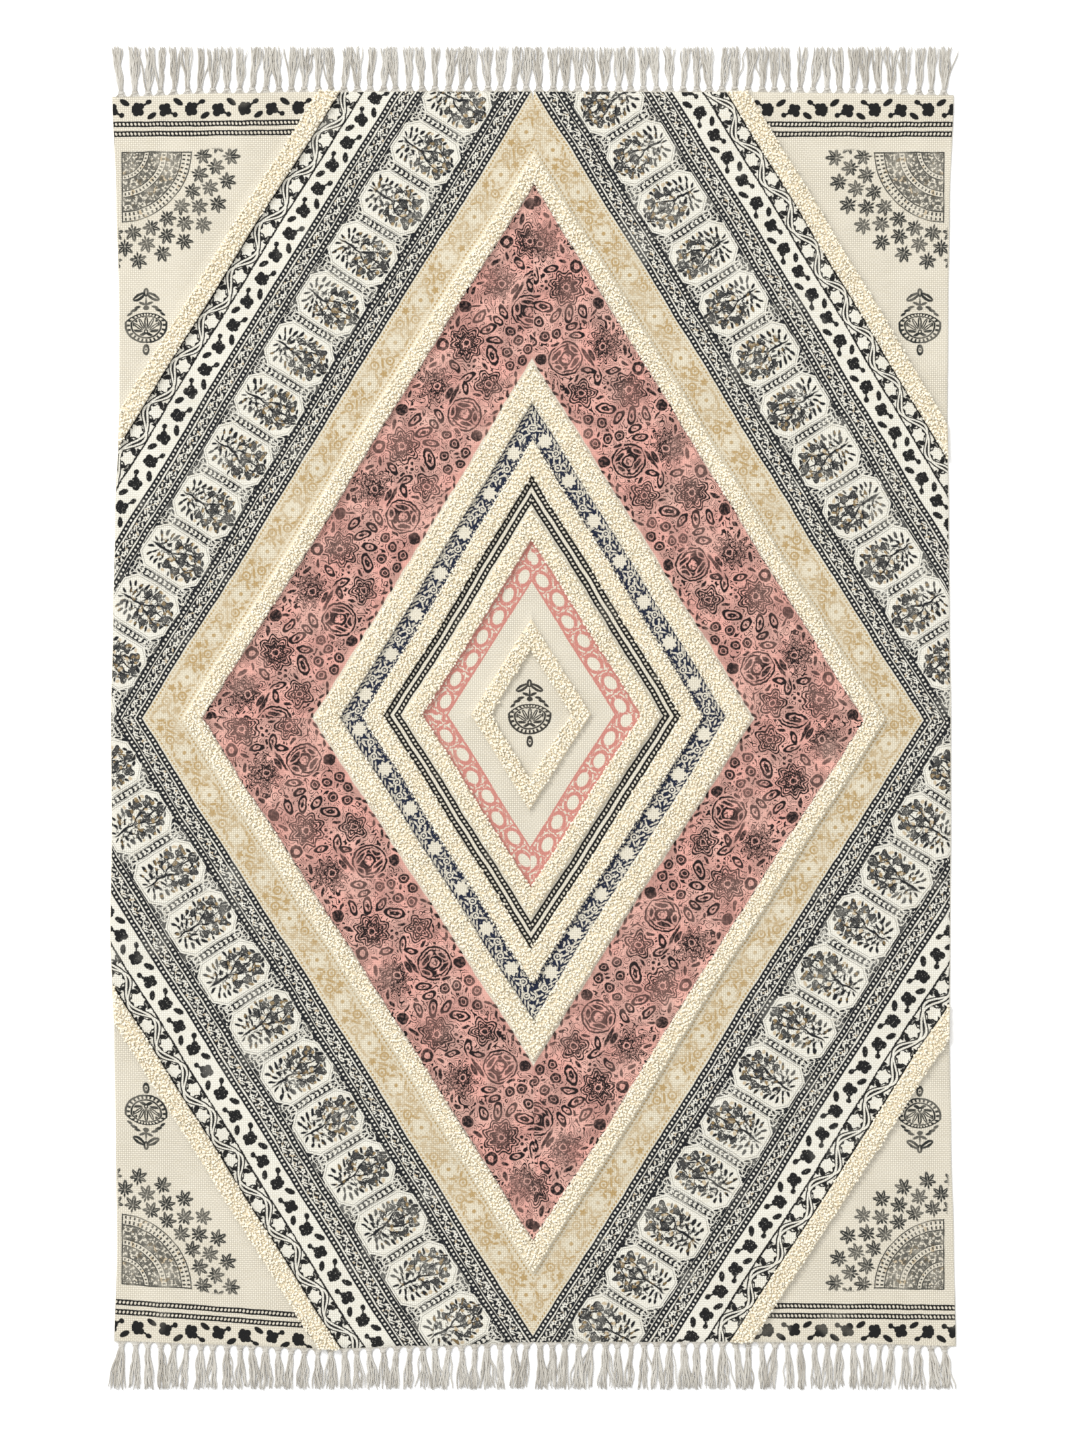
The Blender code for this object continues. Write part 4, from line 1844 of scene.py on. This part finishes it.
    def welded(self) -> tuple[np.ndarray, list[list[int]], list[Pair], list[int]]:
        """Join coinciding points and drop the faces that collapse.

        Returns:
            Points, faces, one print place for each face corner, and each face's band.
        """
        points = np.array(self.points)
        keys = np.round(points[:, :2] / self.weld).astype(np.int64)
        _, first, index = np.unique(keys, axis=0, return_index=True, return_inverse=True)
        index = index.reshape(-1).tolist()
        faces, places, bands = [], [], []
        for number, corners in enumerate(self.faces):
            kept = []
            seen = set()
            for offset, corner in enumerate(corners):
                if index[corner] not in seen:
                    seen.add(index[corner])
                    kept.append(offset)
            if len(kept) < 3:
                continue
            faces.append([index[corners[offset]] for offset in kept])
            places += [self.prints[4 * number + offset] for offset in kept]
            bands.append(self.bands[number])
        return points[first], faces, places, bands

    @staticmethod
    def rim(faces: list[list[int]]) -> list[tuple[int, int]]:
        """The directed edges that belong to one face only, which run round the cloth."""
        edges = {(face[i], face[(i + 1) % len(face)]) for face in faces for i in range(len(face))}
        return sorted(edge for edge in edges if (edge[1], edge[0]) not in edges)

    def build(self, finishes: dict[Kind, bpy.types.Material], back: bpy.types.Material) -> bpy.types.Object:
        """Build the closed cloth.

        Args:
            finishes: The material of each kind of band.
            back: The material of the underside and the hem.

        Returns:
            The cloth, as one closed mesh.
        """
        for side, end in QUARTERS:
            self.add_quarter(side, end)
        top, faces, places, bands = self.welded()
        rim = self.rim(faces)
        on_rim = sorted({corner for edge in rim for corner in edge})
        count = len(top)
        outline = self.layout.outline
        draw_in = np.array([1 - self.hem / (outline.width / 2), 1 - self.hem / (outline.length / 2)])
        edge = top[on_rim].copy()
        top[on_rim, :2] *= draw_in
        back_points = top * (1, 1, 0)
        upper = edge - (0, 0, self.hem)
        lower = edge * (1, 1, 0) + (0, 0, self.hem)
        points = np.concatenate([top, back_points, upper, lower])
        slots = list(Kind)
        numbers = [slots.index(BANDS[band].kind) for band in bands]
        all_faces = [tuple(face) for face in faces]
        all_faces += [tuple(corner + count for corner in reversed(face)) for face in faces]
        all_places = list(places)
        start = 0
        for face in faces:
            all_places += places[start:start + len(face)][::-1]
            start += len(face)
        numbers += [len(slots)] * len(faces)
        ring = {corner: place for place, corner in enumerate(on_rim)}
        base_upper, base_lower = 2 * count, 2 * count + len(on_rim)
        for a, b in rim:
            chain = [
                (a, base_upper + ring[a], base_lower + ring[a], count + a),
                (b, base_upper + ring[b], base_lower + ring[b], count + b),
            ]
            for low, high, low_b, high_b in zip(chain[0], chain[0][1:], chain[1], chain[1][1:]):
                all_faces.append((low_b, low, high, high_b))
                all_places += [(0.0, 0.0)] * 4
                numbers.append(len(slots))
        mesh = bpy.data.meshes.new("rug_cloth")
        mesh.from_pydata(points.tolist(), [], all_faces)
        set_uv(mesh, PRINT_UV, np.array(all_places))
        set_uv(mesh, BAKE_UV, self.bake_places(points, all_faces, numbers, len(slots)))
        for kind in slots:
            mesh.materials.append(finishes[kind])
        mesh.materials.append(back)
        mesh.polygons.foreach_set("material_index", np.array(numbers, dtype=np.int32))
        mesh.update()
        return linked(mesh.name, mesh)

    def bake_places(
        self, points: np.ndarray, faces: list[tuple[int, ...]], numbers: list[int], back: int
    ) -> np.ndarray:
        """Spread the cloth over a map, its underside and hem in a narrow strip.

        Args:
            points: All vertices.
            faces: All faces.
            numbers: Each face's material number.
            back: The underside's material number.

        Returns:
            One row of u and v for each face corner.
        """
        low, high = points[:, :2].min(0), points[:, :2].max(0)
        flat = (points[:, :2] - low) / (high - low)
        under, over = (0.0, self.back_share), (self.back_share, 1 - self.back_share)
        rows = []
        for face, number in zip(faces, numbers):
            start, share = under if number == back else over
            rows += [(flat[corner][0], start + flat[corner][1] * share) for corner in face]
        return np.array(rows)


def tube_faces(rings: int, sides: int) -> np.ndarray:
    """Vertex numbers of the quads of one tube that is closed at both ends by a flat fold.

    Args:
        rings: Rings of vertices along the tube.
        sides: Vertices in each ring, an even number.

    Returns:
        Rows of four vertex numbers.
    """
    quads = []
    for near in range(0, (rings - 1) * sides, sides):
        for spot in range(sides):
            after = (spot + 1) % sides
            quads.append((near + spot, near + after, near + sides + after, near + sides + spot))
    for base, turned in ((0, True), ((rings - 1) * sides, False)):
        for spot in range(sides // 2 - 1):
            quad = (base + spot, base + spot + 1, base + sides - 2 - spot, base + sides - 1 - spot)
            quads.append(quad[::-1] if turned else quad)
    return np.array(quads)


def unit(vectors: np.ndarray) -> np.ndarray:
    """Scale vectors to a length of one."""
    return vectors / (np.linalg.norm(vectors, axis=2, keepdims=True) + 1e-12)


def many_tubes(name: str, paths: np.ndarray, radii: np.ndarray, sides: int) -> bpy.types.Object:
    """Build many closed tubes as one mesh.

    Args:
        name: The piece's name.
        paths: Tubes by points by x, y and z.
        radii: Tubes by points: the tube's radius at each point.
        sides: Vertices round each tube.

    Returns:
        The piece, with a bake map seen from straight above and a "tone" that differs from tube to tube.
    """
    tubes, rings = paths.shape[:2]
    steep = 0.8
    forward = unit(np.gradient(paths, axis=1))
    helper = np.where(np.abs(forward[..., 2:3]) > steep, (1.0, 0.0, 0.0), (0.0, 0.0, 1.0))
    sideways = unit(np.cross(helper, forward))
    upward = np.cross(forward, sideways)
    angles = np.arange(sides) * math.tau / sides
    circle = sideways[:, :, None] * np.cos(angles)[:, None] + upward[:, :, None] * np.sin(angles)[:, None]
    points = (paths[:, :, None] + circle * radii[:, :, None, None]).reshape(-1, 3)
    starts = (np.arange(tubes) * rings * sides)[:, None, None]
    faces = (tube_faces(rings, sides)[None] + starts).reshape(-1, 4)
    piece = mesh_object(name, points, faces)
    tone = np.random.default_rng(tubes + sides).random(tubes)
    layer = piece.data.attributes.new("tone", "FLOAT", "POINT")
    layer.data.foreach_set("value", np.repeat(tone, rings * sides).astype(np.float32))
    flat = points[:, :2]
    low, high = flat.min(0), flat.max(0)
    set_uv(piece.data, BAKE_UV, ((flat - low) / (high - low))[faces.ravel()])
    return piece


@dataclass
class PileGroup:
    """Tufts of looped yarn worked through some of the bands.

    Attributes:
        name: The piece's name.
        halves: Outer half-widths of its bands.
        seed: Start of its random draws.
        gap: Between tufts.
        root: Height where a tuft leaves the mat.
        top: Height of the middling tuft.
        unevenness: How much a tuft's height varies, by clumps and by chance.
        clumps: Two waves to be multiplied, and a third to add.
        comb: Wave of the tufts' lean, in radians.
        girth: Radius of a tuft.
        lean: How far a tuft's tip may lie over.
        edge_gap: From tufts to the cloth's side edges.
        margins: First and last row from the band's edges, in rows.
        jitter: How far a tuft strays, in gaps.
        sections: Share of lean, height and girth at each point of a tuft.
        sides: Vertices round a tuft.
    """

    name: str
    halves: tuple[float, ...]
    seed: int
    gap: float = 0.0033
    root: float = 0.0062
    top: float = 0.0102
    unevenness: float = 0.0009
    clumps: tuple[Ripple, Ripple, Ripple] = (
        Ripple(410.0, 120.0, 0.0, 1.0), Ripple(-160.0, 380.0, 0.0, 1.0), Ripple(900.0, -300.0, 1.0, 0.6),
    )
    comb: Ripple = Ripple(95.0, 60.0, 0.0, 1.4)
    girth: float = 0.00165
    lean: float = 0.0030
    edge_gap: float = 0.0030
    margins: Pair = (0.35, 0.15)
    jitter: float = 0.42
    sections: tuple[Triple, ...] = (
        (0.0, 0.0, 0.95), (0.55, 0.86, 1.10), (1.20, 0.94, 0.50),
    )
    sides: int = 4

    def spots(self, layout: Layout, draw: np.random.Generator) -> np.ndarray:
        """Find where the tufts stand.

        Args:
            layout: Where the bands run.
            draw: Random draws.

        Returns:
            Rows of x and y.
        """
        found = []
        step = self.gap / ACROSS
        for number, band in enumerate(BANDS):
            if band.outer not in self.halves:
                continue
            first_row = BANDS[number - 1].outer + self.margins[0] * step
            rows = np.arange(first_row, band.outer - self.margins[1] * step, step)
            for side, end in QUARTERS:
                first, last = layout.ends(side, end, rows)
                counts = np.maximum((np.linalg.norm(last - first, axis=1) / self.gap).astype(int), 1)
                half = np.repeat(rows, counts)
                middles = np.concatenate([np.arange(count) + 0.5 for count in counts])
                strays = draw.uniform(-self.jitter, self.jitter, len(middles))
                share = (middles + strays) / np.repeat(counts, counts)
                half = half + draw.uniform(-self.jitter, self.jitter, len(half)) * step
                found.append(layout.points(side, end, half, np.clip(share, 0.001, 0.999)))
        spots = np.concatenate(found)
        left = layout.outline.side_x(-1, spots[:, 1]) + self.edge_gap
        right = layout.outline.side_x(1, spots[:, 1]) - self.edge_gap
        spots[:, 0] = np.clip(spots[:, 0], left, right)
        return spots

    def build(self, layout: Layout) -> bpy.types.Object:
        """Build the tufts as one mesh.

        Args:
            layout: Where the bands run.

        Returns:
            The piece.
        """
        draw = np.random.default_rng(self.seed)
        spots = self.spots(layout, draw)
        x, y = spots[:, 0], spots[:, 1]
        count = len(spots)
        first, second, third = (wave.height(x, y) for wave in self.clumps)
        chance = draw.uniform(-self.unevenness, self.unevenness, count)
        height = self.top + self.unevenness * (first * second + third) + chance
        turn = draw.uniform(0, math.tau, count) + self.comb.height(x, y)
        reach = self.lean * draw.uniform(0.25, 1.0, count)
        tip = np.stack([np.cos(turn) * reach, np.sin(turn) * reach], -1)
        thick = self.girth * draw.uniform(0.8, 1.25, count)
        paths = np.empty((count, len(self.sections), 3))
        radii = np.empty((count, len(self.sections)))
        for number, (over, rise, girth) in enumerate(self.sections):
            paths[:, number, :2] = spots + tip * over
            paths[:, number, 2] = self.root + (height - self.root) * rise
            radii[:, number] = thick * girth
        return many_tubes(self.name, paths, radii, self.sides)


@dataclass
class Fringe:
    """The knotted warp ends along one end of the rug.

    Attributes:
        name: The piece's name.
        end: -1 for the bottom, +1 for the top.
        seed: Start of its random draws.
        tassels: How many.
        pitch: Between tassels.
        strands: In each tassel.
        extra: More of them in the outermost tassels.
        reach: Where the longest tips end, from the rug's middle.
        shortfall: How much shorter a short strand is.
        girth: Radius of a strand.
        knot_out: From the cloth's edge to the knot's middle.
        fan: Least and most that a tassel spreads to either side.
        wave: Least and most that a strand waves.
        stray: Least and most that a loose strand strays, and their share.
        outer_leans: How far the outermost tassels lean.
        base: How far strands stand apart where they leave the knot.
        heights: A strand's height, and how much that varies.
        gathers: Strands from the cloth into a knot.
        gather_half: Their spread to either side, in pitches.
        gather_rows: Their share of the way, width left and height.
        tuck: Their reach under the cloth's edge.
        turns: Turns of yarn round a knot.
        turn_gap: Between those turns.
        knot_half: Half a knot's width.
        knot_heights: Of a turn's ends, and of its middle above them.
        knot_girth: Radius of a turn.
        stations: Points along a strand.
        sides: Vertices round a strand.
    """

    name: str
    end: int
    seed: int
    tassels: int = 64
    pitch: float = 0.0188
    strands: int = 12
    extra: int = 5
    reach: float = 0.968
    shortfall: float = 0.0096
    girth: float = 0.00095
    knot_out: float = 0.0055
    fan: Pair = (0.0056, 0.0092)
    wave: Pair = (0.0007, 0.0022)
    stray: Triple = (0.004, 0.010, 0.09)
    outer_leans: Pair = (-0.007, 0.004)
    base: float = 0.0016
    heights: Pair = (0.0019, 0.0009)
    gathers: int = 7
    gather_half: float = 0.46
    gather_rows: tuple[Triple, ...] = (
        (0.0, 1.0, 0.0021), (0.5, 0.62, 0.0016), (1.0, 0.25, 0.0018),
    )
    tuck: float = 0.0012
    turns: int = 3
    turn_gap: float = 0.0013
    knot_half: float = 0.0034
    knot_heights: Pair = (0.0012, 0.0020)
    knot_girth: float = 0.00105
    stations: int = 9
    sides: int = 6

    def strand(self, draw: np.random.Generator, number: int, spread: float, drift: float) -> np.ndarray:
        """Lay one free strand, as if its knot were at the origin and its tip one long.

        Args:
            draw: Random draws.
            number: Which strand of its tassel.
            spread: Where in the tassel it starts, -1 to 1.
            drift: How far its tip lies aside.

        Returns:
            Rows of x, share of its length, and height.
        """
        share = np.linspace(0.0, 1.0, self.stations)
        reach, turns, start = draw.uniform(*self.wave), draw.uniform(5.0, 12.0), draw.uniform(0.0, math.tau)
        swing = reach * np.sin(share * turns + start) * smoothstep(share / 0.25)
        aside = self.base * spread * (1 - share) + drift * share ** 0.8 + swing
        middling, varying = self.heights
        height = middling + varying * np.sin(share * 4 + number) * (1 - share * 0.4)
        return np.stack([aside, share, np.maximum(height, self.girth * 1.05)], -1)

    def knot(self, middle: float, edge: float) -> list[tuple[np.ndarray, np.ndarray]]:
        """Build what gathers into a tassel's knot, and the knot's turns of yarn.

        Args:
            middle: The tassel's x.
            edge: The cloth's edge there.

        Returns:
            The path and the radii of each tube.
        """
        share = np.linspace(0.0, 1.0, self.stations)
        places, widths, heights = zip(*self.gather_rows)
        low, rise = self.knot_heights
        tubes = []
        for number in range(self.gathers):
            spread = (number + 0.5) / self.gathers * 2 - 1
            x = middle + spread * self.pitch * self.gather_half * np.interp(share, places, widths)
            y = edge + self.end * (share * (self.knot_out + self.tuck) - self.tuck)
            z = np.interp(share, places, heights)
            tubes.append((np.stack([x, y, z], -1), np.full(self.stations, self.girth * 1.1)))
        for number in range(self.turns):
            turns = share * math.pi
            x = middle + self.knot_half * np.cos(turns)
            level = edge + self.end * (self.knot_out + (number - 1) * self.turn_gap)
            y = level + 0.0005 * np.cos(turns + number)
            z = low + rise * np.sin(turns)
            tubes.append((np.stack([x, y, z], -1), np.full(self.stations, self.knot_girth)))
        return tubes

    def build(self, outline: Outline) -> bpy.types.Object:
        """Build every strand and knot of this end as one mesh.

        Args:
            outline: The cloth's edge.

        Returns:
            The piece.
        """
        draw = np.random.default_rng(self.seed)
        middles = (np.arange(self.tassels) - (self.tassels - 1) / 2) * self.pitch
        middles += draw.uniform(-0.0011, 0.0011, self.tassels)
        leans = draw.normal(0.0, 0.0035, self.tassels)
        leans[0], leans[-1] = self.outer_leans
        taper = np.interp(np.linspace(0.0, 1.0, self.stations), (0, 0.1, 0.9, 1), (1.1, 1, 0.9, 0.5))
        least_stray, most_stray, loose = self.stray
        tubes = []
        for middle, lean in zip(middles, leans):
            edge = float(outline.end_y(self.end, middle))
            knot = edge + self.end * self.knot_out
            outermost = abs(middle) > middles[-2] - 1e-6
            strands = self.strands + (self.extra if outermost else int(draw.integers(-1, 2)))
            fan = draw.uniform(*self.fan)
            for number in range(strands):
                spread = (number + 0.5) / strands * 2 - 1
                tip = self.end * (self.reach - abs(draw.normal(0.0, 0.4)) * self.shortfall)
                drift = fan * (spread + draw.normal(0.0, 0.28)) + lean
                if draw.random() < loose:
                    drift += draw.choice((-1.0, 1.0)) * draw.uniform(least_stray, most_stray)
                path = self.strand(draw, number, spread, drift)
                path[:, 0] += middle
                path[:, 1] = knot + (tip - knot) * path[:, 1]
                tubes.append((path, self.girth * draw.uniform(0.75, 1.2) * taper))
            tubes += self.knot(middle, edge)
        paths, radii = (np.array(part) for part in zip(*tubes))
        return many_tubes(self.name, paths, radii, self.sides)


@dataclass(frozen=True)
class Studio:
    """A plain pale floor, soft light and the camera straight above.

    Attributes:
        floor_half: Half the floor's side.
        floor_drop: From the rug's underside down to the floor.
        lens: Focal length, in millimetres.
        height: Of the camera.
        aim: The point on the floor under the camera.
        sky: Strength of the light from all round.
        key_power: Of the large soft lamp at the upper left.
        key_size: Its side.
        key_place: Where it hangs.
    """

    floor_half: float = 6.0
    floor_drop: float = 0.0002
    lens: float = 85.0
    height: float = 4.899
    aim: Pair = (0.0101, -0.0029)
    sky: float = 0.86
    key_power: float = 1650.0
    key_size: float = 5.6
    key_place: Triple = (-7.6, 8.5, 11.2)

    def floor(self) -> bpy.types.Object:
        """Lay the floor.

        Returns:
            The floor.
        """
        half, low = self.floor_half, -self.floor_drop
        corners = np.array([(-half, -half, low), (half, -half, low), (half, half, low), (-half, half, low)])
        floor = mesh_object("floor", corners, np.array([(0, 1, 2, 3)]))
        paint = Paint.started("pale_floor")
        paint.feed("Base Color", paint.place().noise(0.002).mix(dye(250, 250, 250), dye(254, 254, 254)))
        paint.set(Roughness=0.9, Specular_IOR_Level=0.1)
        floor.data.materials.append(paint.material)
        return floor

    def light(self) -> None:
        """Hang the lamp and light the room."""
        world = bpy.data.worlds.new("soft_room")
        world.use_nodes = True
        background = world.node_tree.nodes["Background"]
        background.inputs["Color"].default_value = (1.0, 1.0, 1.0, 1.0)
        background.inputs["Strength"].default_value = self.sky
        bpy.context.scene.world = world
        lamp = bpy.data.lights.new("soft_key", "AREA")
        lamp.size = self.key_size
        lamp.energy = self.key_power
        key = bpy.data.objects.new("soft_key", lamp)
        key.location = self.key_place
        key.rotation_euler = (-Vector(self.key_place)).to_track_quat("-Z", "Y").to_euler()
        bpy.context.scene.collection.objects.link(key)

    def build(self) -> None:
        """Lay the floor, hang the light and set the camera."""
        scene = bpy.context.scene
        scene.view_settings.view_transform = "Standard"
        self.floor()
        self.light()
        lens = bpy.data.cameras.new("camera")
        lens.lens = self.lens
        lens.clip_end = 50.0
        camera = bpy.data.objects.new("camera", lens)
        camera.location = (*self.aim, self.height)
        scene.collection.objects.link(camera)
        scene.camera = camera


PILE_GROUPS = (
    PileGroup("pile_inner", (0.0860, 0.1850, 0.2435), 21),
    PileGroup("pile_middle", (0.3140,), 22),
    PileGroup("pile_outer", (0.5050,), 23),
    PileGroup("pile_corners", (0.8755,), 24),
)
FRINGES = {
    "fringe_top": Fringe("fringe_top_strands", 1, 11),
    "fringe_bottom": Fringe("fringe_bottom_strands", -1, 12),
}


def finished(
    piece: bpy.types.Object, material: bpy.types.Material | None = None
) -> bpy.types.Object:
    """Dress a piece, fix it to the rug's body and report it.

    Args:
        piece: The piece.
        material: Its material, unless it has its own.

    Returns:
        The piece.
    """
    if material:
        piece.data.materials.append(material)
    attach(piece, ROOT)
    logging.getLogger("rug").info("%s: %d faces", piece.name, len(piece.data.polygons))
    return piece


def main() -> None:
    """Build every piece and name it."""
    logging.basicConfig(level=logging.INFO, format="%(message)s")
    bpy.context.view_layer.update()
    layout = Layout()
    finishes = {kind: PRINTS[kind].material() for kind in Kind}
    cloth = Cloth(layout).build(finishes, GroundCloth("back").material())
    finished(cloth)
    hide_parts("rug")
    yarn = PILE_YARN.material()
    extras = [finished(group.build(layout), yarn) for group in PILE_GROUPS]
    warp = FRINGE_YARN.material()
    for node, fringe in FRINGES.items():
        piece = finished(fringe.build(layout.outline), warp)
        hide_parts(node)
        extras.append(piece)
    Studio().build()


if __name__ == "__main__":
    main()
